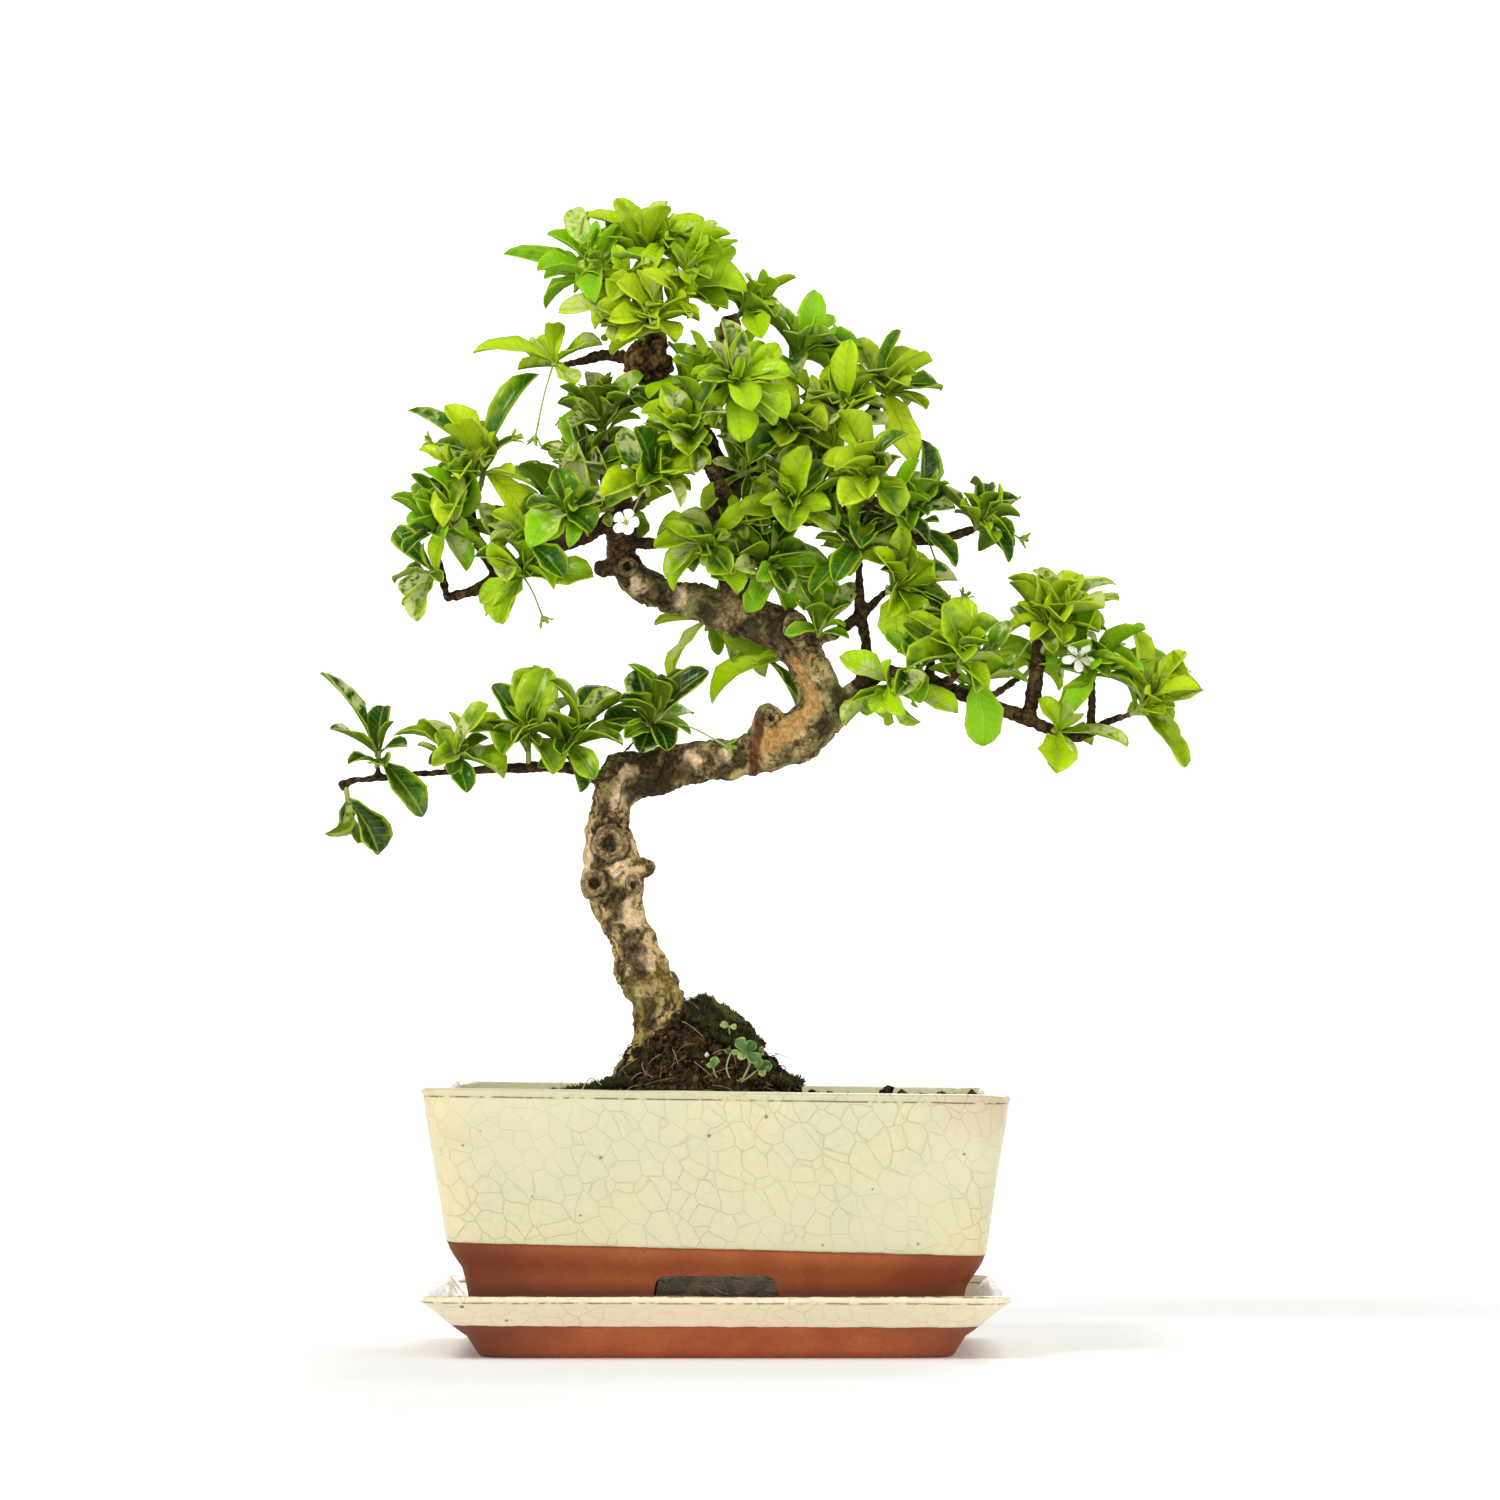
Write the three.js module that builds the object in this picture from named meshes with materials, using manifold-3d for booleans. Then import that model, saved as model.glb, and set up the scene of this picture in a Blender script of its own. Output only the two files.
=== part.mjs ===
// Fukien tea bonsai in a glazed rectangular pot that stands in its saucer.
// Millimetres, +Z up. The origin is the middle of the saucer's underside, and the front faces -Y.
import * as THREE from 'three';
import { mergeVertices } from 'three/addons/utils/BufferGeometryUtils.js';
import Module from 'manifold-3d';

const wasm = await Module();
wasm.setup();
const { Manifold } = wasm;

// Clearance between pieces that touch
const GAP = 0.3;

// Pot: a tapered box with rounded corners, glazed above an unglazed foot
const RIM_LENGTH = 200;
const RIM_DEPTH = 144;
const RIM_TOP = 90.6;
const POT_CORNER = 10;
const POT_BASE = 9.3;
const POT_WALL = 6;
const POT_FLOOR_UNDER = 28;
const POT_FLOOR_TOP = 34;
const FOOT_HALF = 85;
const FOOT_WALL = 11;
// Height and half length where the straight wall starts and where it ends under the lip
const WALL_START = [37, 91.6];
const WALL_END = [88, 99.6];
// Height and half length of the pot's outside, from the foot to the lip
const POT_PROFILE = [
  [POT_BASE, 82.6],
  [23.5, FOOT_HALF],
  [28.2, 86.5],
  [32.7, 89.4],
  WALL_START,
  WALL_END,
  [89.8, RIM_LENGTH / 2],
  [RIM_TOP, 99.2],
];
const ARCH_FOOT_WIDTH = 48;
const ARCH_TOP_WIDTH = 40;
const DRAIN_RADIUS = 8;
const DRAIN_X = 45;

// Drain screens: thin plastic nets over the holes
const SCREEN_SIDE = 26;
const SCREEN_THICK = 1.2;
const SCREEN_HOLE = 8;
const SCREEN_PITCH = 11;

// Saucer: a low tray with a flared rim
const SAUCER_RIM_LENGTH = 200.4;
const SAUCER_RIM_DEPTH = 148;
const SAUCER_CORNER = 11;
const SAUCER_WALL = 3;
const SAUCER_FLOOR = 9;
const SAUCER_PROFILE = [
  [0, 80.7],
  [7.2, 85],
  [10.3, 88.9],
  [18.2, 98],
  [20, SAUCER_RIM_LENGTH / 2],
  [21.9, 99.4],
];
const SAUCER_HOLLOW = [
  [SAUCER_FLOOR, 84.8],
  [11, 87.2],
  [18.2, 94.4],
  [23, 97.4],
];

// Soil with the root mound at the foot of the trunk
const SOIL_TOP = 86.5;
const MOUND_X = -8;
const MOUND_Y = 2;
// Radius and height of the mound, from its foot to its crown
const MOUND_PROFILE = [
  [0, 70],
  [40, 70],
  [38, 86],
  [33.5, 91.4],
  [24.7, 101.9],
  [17.7, 111.3],
  [9, 117.5],
  [4, 121],
  [0, 122.5],
];
// Waves round the mound: how many, how high, and their turn for each millimetre of height
const MOUND_WAVES = [[3, 0.05, 0.08], [5, 0.04, -0.13]];
const MOSS_THICK = 2.6;
const MOSS_MIDDLE = [6, -4, 115];
const MOSS_REACH = [17, 19, 15];

// Leaves: a blade folded along its midrib and arched over its length
const BLADE_THICK = 0.7;
const NARROW_ROW = 0.36;
const NARROW_WIDTH = 0.64;
const WIDE_ROW = 0.76;
const GOLDEN_TURN = 2.39996;
const RULE_LEAF_LENGTH = 22;
const RULE_LEAF_WIDTH = 13.5;
const REACHING_WIDEN = 1.2;
const SHOOT_RADIUS = 1;
const STEM_STEP = 0.3;
const STALK_RADIUS = 0.45;
const BUD_RADIUS = 1.3;
const STALK_BOW = 0.08;
const BLOOM_CUP_BACK = 0.35;
// A leaf that would cross another moves this far, or turns this much, until it is clear
const SHIFTS = [0, -3, 3, -6, 6, -9, 9, -12, 12, -15, 15];
const RETRY_TURN = 0.85;
// Leaves of one shoot are kept apart from this share of their length on
const OUTER_FROM = 0.12;
// A leaf's root lies this far from the middle of its stem, on the leaf's side
const ROOT_OUT = 0.4;
// Fold and arch of a blade, and the share of the rule's length or width: least, and how far a draw adds
const FOLD = [0.2, 0.2];
const ARCH = [0.03, 0.08];
const SIZE_SHARE = [0.85, 0.3];
// Where leaves sit along their stem: the share it starts at, and the share they are spread over
const REACHING_SEATS = [0.42, 0.46];
const TURNED_SEATS = [0.38, 0.5];
// How far a turned leaf leans out from its stem, how much less at the stem's end, and how much by draw
const LEAN = [1.5, 0.8, 0.3];
const STALK_SEAT = 0.85;
// Way from which turns round a stem or limb are counted
const TURN_START = [0.3, 1, 0.1];

// Seedling on the front of the mound: its crown, and where its leaves stand from there
const SEEDLING_CROWN = [8, -23, 97];
const SEEDLING_ROOT = 4;
const SEEDLING_CROWN_RADIUS = 1.2;
const SEEDLING_STEM_RADIUS = 0.45;
const SEEDLING_LEAF = 4;
const SEEDLING_LEAF_WIDTH = 3.6;
const SEEDLING_PAIR_TURN = 2.6;
const SEEDLING_LEAVES = [[-3, -5, 9], [5, -6, 11]];

// Limbs of the one grown piece of wood: points along each with x, y, z and diameter
const LIMBS = {
  trunk: [
    [-24, 0, 74, 42], [-23, 0, 91, 33], [-19, 0, 103, 20.5], [-20.5, 0, 121, 18],
    [-27, 1, 134, 18.5], [-31, 2, 146, 15.5], [-34, 3, 154, 18.5], [-36, 3, 161, 22], [-37, 4, 173, 19],
    [-38.5, 5, 181, 15.7], [-37.5, 6, 191, 15.7], [-33, 7, 199, 19], [-22, 7, 201.5, 17.5],
    [-9, 5, 203.5, 14.2], [4.5, 2, 205, 14.8], [17, -1, 210, 17], [29, -4, 214, 19.2],
    [37, -6, 221.5, 18.5], [35, -7, 231.5, 14.4], [31, -6, 242, 15.7], [25.5, -4, 249, 17.5],
    [15, -1, 253.5, 15.7], [3, 2, 257, 14], [-9.5, 4, 261, 11.8], [-22, 4, 265, 11.9],
    [-30.5, 2, 270, 12.2], [-33.5, 0, 277, 11.2], [-34, -2, 284, 9.8], [-35, -3, 296, 7],
    [-38.5, -4, 306.5, 6.3], [-39, -4, 316, 5.4],
  ],
  second_leader: [
    [10, 0, 257, 14], [6, 1, 270, 12.6], [1.7, 3, 279, 12.6], [0.3, 5, 289, 12], [2.7, 4, 303, 9.2],
    [-6, 1, 320.5, 7.6], [-21.5, -2, 336, 8.7], [-25, -2, 347, 13], [-21.5, -1, 359, 4.6], [-27, 0, 376, 3],
  ],
  low_right: [
    [35, -6, 222, 9], [44.7, -8, 226.5, 7], [51, -9, 232, 6], [58, -9, 235.5, 5.6], [69, -8, 234, 5.6],
    [78, -7, 231, 5.2], [90.5, -6, 225.5, 5], [103.5, -5, 221.5, 5], [113.3, -5, 217, 4.6],
    [126, -4, 212.5, 3.6], [132.5, -4, 215.5, 3.2], [136.5, -4, 218.5, 2.8], [145, -4, 221, 2.2],
  ],
  low_right_upright: [[130, -4, 213.5, 3.2], [131, -4, 222, 3.2], [131, -4, 233, 2.6]],
  low_right_spur: [[109, -5, 219.5, 5], [110.5, -5, 228, 6.2], [112, -5, 238, 5.6], [112.3, -5, 247, 4.2]],
  low_right_stub: [[74, -8, 232, 4], [74.5, -9, 242, 3.6]],
  low_right_rear: [[90.5, -6, 225.5, 4], [98, 12, 229, 3.4], [108, 26, 236, 2.6]],
  low_right_front: [[78, -7, 231, 4], [82, -16, 233, 3.2], [84, -24, 236, 2.4]],
  red_twig: [[52, -9, 232, 4.4], [52, -10, 246.5, 4.6], [50, -9.5, 255, 4.6], [49.6, -8, 274, 2.8]],
  red_twig_right: [[50, -9.5, 255, 3.6], [55, -10, 260, 3.2], [59.5, -10, 264, 2.6]],
  red_twig_left: [[50, -9.5, 255, 3.8], [43, -9, 250, 3.8], [34, -7, 245, 4.4]],
  right_mid: [
    [1, 4, 286, 7.6], [22, 8, 292, 7], [47, 4, 289, 6.2], [60.5, 2, 285, 5.6], [70, 1, 283, 5.2],
    [78, 1, 282.4, 4], [90, 0, 286, 2.6],
  ],
  right_mid_upright: [[48, 4, 289, 4], [49, 0, 298, 3.4], [39, -3, 302.4, 2.6]],
  right_mid_rear: [[47, 4, 289, 4.6], [54, 20, 294, 3.6], [62, 34, 300, 2.6]],
  right_mid_front: [[47, 4, 289, 4.4], [52, -14, 292, 3.4], [58, -28, 296, 2.4]],
  upper_right: [
    [2.7, 4, 303, 7], [14, 6, 308, 6.6], [25.5, 5, 313.5, 6.2], [46, 2, 321, 5.8], [53, 1, 326, 5.2],
    [58.7, 0, 333, 3.2],
  ],
  top_right: [
    [-6, 1, 321, 5.6], [-1, 4, 334, 5], [1.3, 5, 347, 4.6], [9.7, 5, 346.4, 4.2], [23.7, 4, 344.4, 2.8],
  ],
  top_right_knob: [[2, 5, 347, 4.6], [5, 5, 360, 5]],
  upper_left: [
    [-34.5, -3, 291, 6.4], [-45.5, -3, 284, 5.8], [-57, -2, 279.6, 5], [-67, 0, 273.7, 4.6],
    [-77.4, 1, 269.5, 4.2], [-85.4, 1, 264.6, 4], [-95, 0, 261.8, 3.8], [-96, 0, 268.4, 3.4],
    [-98.7, 0, 277, 3], [-98.7, -1, 283, 2.4],
  ],
  upper_left_upright: [[-77.4, 1, 269.5, 3.6], [-84, 2, 280, 3.4], [-86, 1, 293, 3], [-83, 0, 302, 2.2]],
  upper_left_front: [[-57, -2, 279.6, 4], [-52, -16, 284, 3.4], [-50, -26, 290, 2.4]],
  upper_left_rear: [[-60, -1, 278, 4], [-58, 16, 284, 3.4], [-56, 30, 290, 2.4]],
  apex_left: [[-25, -2, 346, 5], [-40, -4, 347, 4], [-54, -5, 343, 2.6]],
  low_left: [
    [-36, 6, 199, 7], [-43, 5, 199.5, 6], [-48, 4, 202, 4.8], [-58, 2, 203, 4.2], [-75, 0, 202, 3.6],
    [-91.4, -1, 201.3, 2.8], [-114.5, -2, 199, 2.5], [-127, -2, 198, 2.6], [-132, -2, 195.5, 4.4],
  ],
  low_left_stub: [[-118.7, -2, 198.5, 2.4], [-118.7, -2, 203, 2.2]],
  rosette_twig: [[-36, 6, 200, 4], [-34, 3, 206.5, 3], [-29.4, 1, 211, 2.6], [-24, 0, 216, 2]],
  cross_branch: [[-33.5, -1, 281, 4.2], [-22, -6, 280.7, 4.4], [-10, -3, 281, 4.4], [1, 3, 280, 4.6]],
  crown_rear: [[0.3, 5, 290, 7], [4, 20, 296, 6], [8, 36, 304, 4.5], [14, 50, 312, 2.6]],
  crown_front: [[1, 4, 293, 6], [2, -12, 298, 5.4], [0, -26, 303, 4.2], [-6, -38, 310, 2.6]],
  crown_rear_up: [[-6, 1, 320, 5.4], [-4, 16, 328, 4.8], [4, 30, 336, 2.8]],
  crown_front_up: [[-6, 1, 321, 5.2], [-4, -14, 327, 4.6], [4, -26, 333, 2.8]],
  leader_front: [[-34, -2, 284, 5], [-30, -16, 291, 4.4], [-24, -28, 297, 2.8]],
  leader_rear: [[-34, -1, 287, 5], [-38, 14, 295, 4.4], [-42, 28, 302, 2.8]],
  cut_stub: [[25, -4, 249.5, 12], [26.5, -9, 250.3, 12], [27.2, -13.5, 250.8, 10.5]],
};
// Sides of a limb's section, from its largest diameter
const SIDES_BY_DIAMETER = [[9, 7], [6.3, 5], [0, 4]];
// Lobes round a limb: how many, how high, and their turn from ring to ring
const LOBES = [[2, 0.06, 1.3], [3, 0.05, -0.9]];

// Knots and burrs on the wood: x, y, z and radius
const KNOTS = [
  [-26, 0, 167.5, 4.2], [-41, -3, 160, 5.2], [18.5, -4, 219.5, 5.2], [-24.5, -4, 345, 7.8],
  [46, 2, 321, 4.6], [52, -9, 233, 4.2], [-39, 4, 273, 4.6],
];
const KNOT_SHAPE = [1.08, 0.95, 0.9];
// Pruning scars on the trunk: x, y, z, ring radius, then the way each one faces
const SCARS = [
  [-41.5, -6.6, 162, 4.6, [-0.35, -1, 0.05]],
  [27.2, -13, 250.8, 4.2, [0.1, -1, 0.1]],
];
const SCAR_LIP = 0.36;

// Leafy shoots: name, root in the wood, end of the green shoot, number of leaves set round it in turn,
// leaves that reach a place of their own (tip x, y, z and width), then the ends of bud and flower stalks
const SHOOTS = [
  ['apex_top', [-27, 0, 375], [-25, 0, 387], 3,
    [[-35, 4, 404, 8], [-17, -4, 401, 9], [-17, -14, 395, 8], [-5, 8, 398, 8], [-45, -8, 396, 9],
      [-27, 12, 401, 8]], []],
  ['apex_right', [-22, -1, 361], [-7, -4, 374], 1,
    [[7, 0, 388, 9], [10, -10, 371, 16], [2, 10, 382, 10], [-2, -12, 385, 9], [9, 10, 365, 9]], []],
  ['apex_left', [-24, -1, 367], [-49, -3, 377], 0,
    [[-75, 2, 384, 8], [-58, -6, 391, 9], [-63, -8, 375, 10], [-62, 4, 367, 9], [-49, -14, 387, 9]],
    []],
  ['apex_front', [-22, -2, 356], [-23, -20, 357], 1,
    [[-54, -22, 363, 11], [-38, -28, 370, 10], [-10, -26, 364, 10], [-14, -22, 351, 10],
      [-33, -28, 350, 9]], []],
  ['apex_low', [-53, -5, 343], [-58, -6, 344], 0,
    [[-85, -6, 350, 11], [-54, -10, 357, 9], [-63, 4, 353, 7], [-50, -12, 335, 8],
      [-41, -14, 351, 9]], [[-64, -8, 316]]],
  ['top_right', [5, 5, 359], [11, 4, 366], 0,
    [[11, 4, 374, 7], [24, 0, 360, 9], [20, 12, 368, 8], [16, -8, 350, 9]], []],
  ['top_right_out', [23, 4, 344], [31, 3, 349], 1,
    [[41, 6, 362, 8], [34, -3, 363, 7], [51, 0, 351, 10], [47, 9, 344, 10], [28, -10, 355, 9],
      [42, -9, 353, 9]], []],
  ['upper_right_tip', [58, 0, 332], [60, 0, 335], 1,
    [[69, -6, 349, 15], [79, 4, 335, 11], [73, -8, 327, 10], [66, 10, 344, 9], [52, 6, 346, 10],
      [69, -6, 310, 10], [66, 6, 319, 8]], []],
  ['upper_right_front', [47, 2, 322], [45, -14, 329], 1,
    [[32, -18, 332, 11], [55, -22, 331, 10], [35, -26, 320, 11], [50, -22, 312, 11]], []],
  ['right_mid_tip', [89, 0, 285], [93, 0, 289], 0,
    [[104, -2, 298, 9], [96, 7, 297, 8], [85, -8, 294, 8], [101, 8, 289, 7]], [[108, -2, 282]]],
  ['right_mid_in', [70, 1, 283], [68, -4, 294], 1,
    [[83, -5, 272, 9], [53, -10, 303, 10], [76, -4, 303, 9], [71, 8, 309, 9], [82, 10, 300, 9],
      [55, -14, 285, 9]], [[78, -6, 271]]],
  ['right_mid_front', [58, -27, 295], [52, -34, 303], 1,
    [[38, -38, 308, 11], [63, -36, 289, 12], [43, -42, 291, 11], [58, -30, 315, 10]], []],
  ['crown_front', [-6, -37, 309], [-10, -44, 316], 5, [], []],
  ['crown_front_up', [4, -25, 332], [7, -34, 334], 5, [], []],
  ['leader_tip', [-39, -4, 315], [-40, -6, 325], 1,
    [[-52, -8, 333, 10], [-25, -12, 339, 10], [-45, 5, 341, 9], [-50, -14, 320, 9],
      [-30, -20, 330, 10]], []],
  ['leader_front', [-24, -27, 296], [-23, -36, 301], 4, [], []],
  ['leader_back', [-42, 27, 301], [-46, 34, 312], 3, [[-60, 26, 316, 7], [-52, 30, 321, 7]], []],
  ['crown_back', [14, 49, 311], [15, 56, 322], 5, [], []],
  ['crown_back_up', [4, 29, 335], [6, 38, 345], 5, [], []],
  ['crown_mid', [26, 5, 314], [27, -14, 321], 5, [], []],
  ['crown_mid_low', [22, 7, 292], [26, -20, 294], 5, [], []],
  ['crown_face', [1, 2, 290], [-4, -18, 277], 1,
    [[-18, -20, 269, 8], [7, -22, 262, 9], [-22, -18, 278, 8], [-9, -28, 283, 9]], []],
  ['crown_low', [7, 0, 268], [21, -14, 273], 1,
    [[40, -18, 263, 10], [31, -24, 277, 10], [14, -16, 260, 8], [25, -10, 262, 9]], []],
  ['red_twig_top', [50, -8, 273], [48, -11, 279], 1,
    [[39, -16, 288, 10], [58, -13, 278, 10], [34, -18, 260, 10], [41, -24, 267, 9], [54, 4, 287, 9]],
    []],
  ['red_twig_right', [59, -10, 263], [64, -13, 264], 1,
    [[72, -10, 277, 10], [79, -14, 260, 11], [68, -22, 253, 10], [58, -26, 273, 9],
      [63, -18, 246, 12]], []],
  ['stub_shoot', [74, -9, 241], [78, -11, 247], 1,
    [[69, -16, 261, 9], [88, -16, 245, 9], [81, -4, 257, 9], [92, -8, 253, 9]], [[87, -8, 263]]],
  ['low_right_mid', [92, -6, 225], [90, -9, 235], 1,
    [[96, -13, 243, 8], [79, -14, 229, 9], [102, -4, 234, 8], [82, 4, 239, 8], [93, -12, 210, 13]], []],
  ['low_right_spur', [112, -5, 246], [118, -6, 255], 0,
    [[112, -8, 272, 10], [127, -2, 271, 10], [139, 6, 271, 10], [139, -10, 262, 13],
      [133, -15, 248, 10], [107, -12, 259, 9], [101, -6, 250, 8], [119, -18, 243, 9]],
    [[103, -12, 238]]],
  ['low_right_front', [84, -23, 235], [84, -34, 241], 4, [], []],
  ['low_right_back', [108, 26, 235], [118, 34, 246], 4, [], []],
  ['low_right_upright', [131, -4, 232], [133, -5, 239], 1,
    [[157, -4, 242, 8], [148, -11, 235, 9], [142, 3, 247, 8], [119, -10, 237, 9], [123, -17, 220, 9]],
    []],
  ['low_right_tip', [144, -4, 221], [151, -4, 223], 0,
    [[170, -2, 230, 12], [157, -9, 231, 9], [163, -9, 202, 9], [162, 2, 213, 10], [147, 5, 239, 9],
      [166, 9, 236, 9]], []],
  ['low_right_hang', [116, -5, 216], [120, -8, 214], 0,
    [[117, -11, 199, 13], [143, -7, 209, 8], [112, -12, 226, 8]], []],
  ['low_right_under', [62, -9, 235], [60, -13, 228], 0, [[84, -15, 222, 9], [54, -15, 221, 8]], []],
  ['upper_left_tip', [-99, -1, 282], [-98, -2, 287], 1,
    [[-115, -4, 296, 9], [-111, 5, 285, 8], [-103, -10, 299, 8], [-85, -8, 288, 9],
      [-109, -9, 277, 7]], []],
  ['upper_left_twig', [-83, 0, 301], [-81, -2, 311], 0,
    [[-63, 0, 341, 10], [-96, -13, 288, 12], [-64, -11, 286, 10], [-107, 3, 331, 8],
      [-94, -4, 330, 10], [-91, -13, 321, 11], [-102, 7, 316, 8], [-74, -15, 317, 10]],
    [[-102, -3, 317], [-70, -8, 318]]],
  ['upper_left_hang', [-96, 0, 269], [-100, -4, 271], 0,
    [[-114, 3, 270, 10], [-106, -8, 254, 10], [-109, -13, 262, 9]], []],
  ['upper_left_spur', [-67, -1, 271], [-68, -6, 269], 0,
    [[-75, -8, 252, 12], [-43, -10, 268, 12], [-73, -12, 283, 10], [-59, 6, 280, 9]], [[-60, -8, 253]]],
  ['upper_left_front', [-50, -25, 289], [-52, -31, 290], 1,
    [[-65, -36, 292, 10], [-38, -34, 293, 10], [-55, -30, 305, 10], [-43, -38, 282, 11],
      [-59, -36, 279, 10]], []],
  ['upper_left_back', [-56, 29, 289], [-59, 35, 299], 4, [], []],
  ['upper_left_mid', [-77, 1, 270], [-76, -5, 280], 1,
    [[-93, -9, 284, 9], [-82, -13, 294, 9], [-67, -2, 296, 10], [-73, -14, 266, 8]], []],
  ['low_left_tip', [-119, -2, 202], [-118, -3, 208], 0,
    [[-138, -3, 236, 8], [-102, -9, 186, 11], [-109, -10, 211, 8]], []],
  ['low_left_drop', [-130, -2, 196], [-129, -3, 191], 0, [[-117, -4, 173, 13]], []],
  ['low_left_mid', [-95, -1, 202], [-91, -4, 207], 0,
    [[-101, -2, 204, 6], [-97, -4, 215, 8], [-80, -8, 224, 10], [-74, -12, 200, 12],
      [-87, -12, 194, 8]], []],
  ['low_left_fan', [-66, 1, 203], [-66, -4, 216], 1,
    [[-60, -6, 237, 14], [-79, -2, 231, 9], [-91, -9, 218, 10], [-51, 5, 227, 9],
      [-75, -17, 208, 12], [-57, -15, 199, 12]], []],
  ['low_left_inner', [-56, 2, 203], [-50, -6, 213], 1,
    [[-31, -8, 226, 12], [-40, 7, 232, 11], [-43, -16, 200, 9], [-33, -14, 212, 8],
      [-59, -18, 221, 10]], []],
  ['rosette', [-24, 0, 215], [-23, -1, 219], 0,
    [[-28, -2, 237, 12], [-2, -4, 235, 11], [-39, -8, 219, 11], [-17, -10, 209, 10],
      [-27, -13, 207, 9], [-35, 8, 227, 9]], [[5, -13, 209]]],
  ['under_left', [-5, 5, 258], [-2, 15, 254], 0, [[-16, 17, 234, 10], [-22, 12, 252, 7]], []],
  ['under_right', [30, -4, 243], [17, 12, 240], 0, [[-4, 13, 228, 9], [28, 9, 225, 9]], []],
];
// Flowers: name, the shoot that bears each, its middle, the way it faces, and how wide it is
const BLOOMS = [
  ['bloom_left', 'leader_front', [-31, -42, 285], [-0.15, -1, 0.2], 9],
  ['bloom_right', 'low_right_upright', [125.5, -18, 240], [0.1, -1, 0.25], 11],
];
const PETALS = 5;
// Reach of a petal's outline from one notch to the next, and how far its tips lean forward
const PETAL_REACH = [0.42, 0.9, 1, 0.9];
const PETAL_DISH = 0.5;

const vec = ([x, y, z]) => new THREE.Vector3(x, y, z);
const UPRIGHT = vec([0, 0, 1]);

// One closed body of a geometry, ready to join or cut
function solidOf(geometry) {
  geometry.deleteAttribute('normal');
  geometry.deleteAttribute('uv');
  const merged = mergeVertices(geometry, 1e-4);
  const index = Array.from(merged.index.array);
  const triangles = [];
  for (let i = 0; i < index.length; i += 3) {
    const [a, b, c] = [index[i], index[i + 1], index[i + 2]];
    if (a !== b && b !== c && c !== a) {
      triangles.push(a, b, c);
    }
  }
  return new Manifold(new wasm.Mesh({
    numProp: 3,
    vertProperties: new Float32Array(merged.attributes.position.array),
    triVerts: new Uint32Array(triangles),
  }));
}

function joined(solids) {
  return solids.reduce((whole, solid) => whole.add(solid));
}

// The largest body of a solid, so that no loose scrap stays
function largest(solid) {
  const bodies = solid.decompose();
  return bodies.reduce((best, body) => (body.volume() > best.volume() ? body : best));
}

// A closed tube of rings: place gives each point from its ring, its turn round the ring, and 0 at the
// middle of an end cap
function ringTube(sides, rings, place) {
  const geometry = new THREE.CylinderGeometry(1, 1, 1, sides, rings - 1);
  const spots = geometry.attributes.position;
  const step = (2 * Math.PI) / sides;
  for (let i = 0; i < spots.count; i += 1) {
    const x = spots.getX(i);
    const z = spots.getZ(i);
    const across = Math.hypot(x, z) > 0.5 ? 1 : 0;
    const turn = (Math.round(Math.atan2(x, z) / step) + sides) % sides;
    const ring = Math.round((spots.getY(i) + 0.5) * (rings - 1));
    const p = place(ring, turn, across);
    spots.setXYZ(i, p.x, p.y, p.z);
  }
  return geometry;
}

// A tapered block with rounded corners, from its profile of heights and half lengths
function roundedBlock(profile, depthLess, corner, perCorner = 4) {
  const sides = 4 * perCorner;
  return solidOf(ringTube(sides, profile.length, (ring, turn, across) => {
    const [z, half] = profile[ring];
    const side = Math.floor(turn / perCorner);
    const angle = (side + (turn % perCorner) / (perCorner - 1)) * (Math.PI / 2);
    const cornerX = (half - corner) * (side === 0 || side === 3 ? 1 : -1);
    const cornerY = (half - depthLess - corner) * (side < 2 ? 1 : -1);
    const x = across * (cornerX + corner * Math.cos(angle));
    const y = across * (cornerY + corner * Math.sin(angle));
    return new THREE.Vector3(x, y, z);
  }));
}

function box(width, depth, height, x, y, z) {
  return solidOf(new THREE.BoxGeometry(width, depth, height).translate(x, y, z));
}

// What is cut out under the foot for the arches at the front and the back
function throughArch() {
  const arch = new THREE.Shape([
    new THREE.Vector2(-ARCH_FOOT_WIDTH / 2, 0),
    new THREE.Vector2(ARCH_FOOT_WIDTH / 2, 0),
    new THREE.Vector2(ARCH_TOP_WIDTH / 2, POT_FLOOR_UNDER - POT_BASE),
    new THREE.Vector2(-ARCH_TOP_WIDTH / 2, POT_FLOOR_UNDER - POT_BASE),
  ]);
  const run = new THREE.ExtrudeGeometry(arch, { depth: 2 * RIM_DEPTH, bevelEnabled: false });
  run.rotateX(Math.PI / 2);
  run.translate(0, RIM_DEPTH, POT_BASE);
  return solidOf(run);
}

const POT_DEPTH_LESS = (RIM_LENGTH - RIM_DEPTH) / 2;
const SAUCER_DEPTH_LESS = (SAUCER_RIM_LENGTH - SAUCER_RIM_DEPTH) / 2;

// The pot's hollow from its floor to its lip, narrowed all round by less
function potHollow(less, floor, top) {
  const slope = (WALL_END[1] - WALL_START[1]) / (WALL_END[0] - WALL_START[0]);
  const half = (z) => WALL_START[1] + slope * (z - WALL_START[0]) - POT_WALL - less;
  const profile = [[floor, half(floor)], [top, half(top)]];
  return roundedBlock(profile, POT_DEPTH_LESS, POT_CORNER - POT_WALL / 2, 3);
}

function drain(x) {
  const hole = new THREE.CylinderGeometry(DRAIN_RADIUS, DRAIN_RADIUS, 4 * DRAIN_RADIUS, 10);
  hole.rotateX(Math.PI / 2);
  hole.translate(x, 0, (POT_FLOOR_UNDER + POT_FLOOR_TOP) / 2);
  return solidOf(hole);
}

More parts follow.
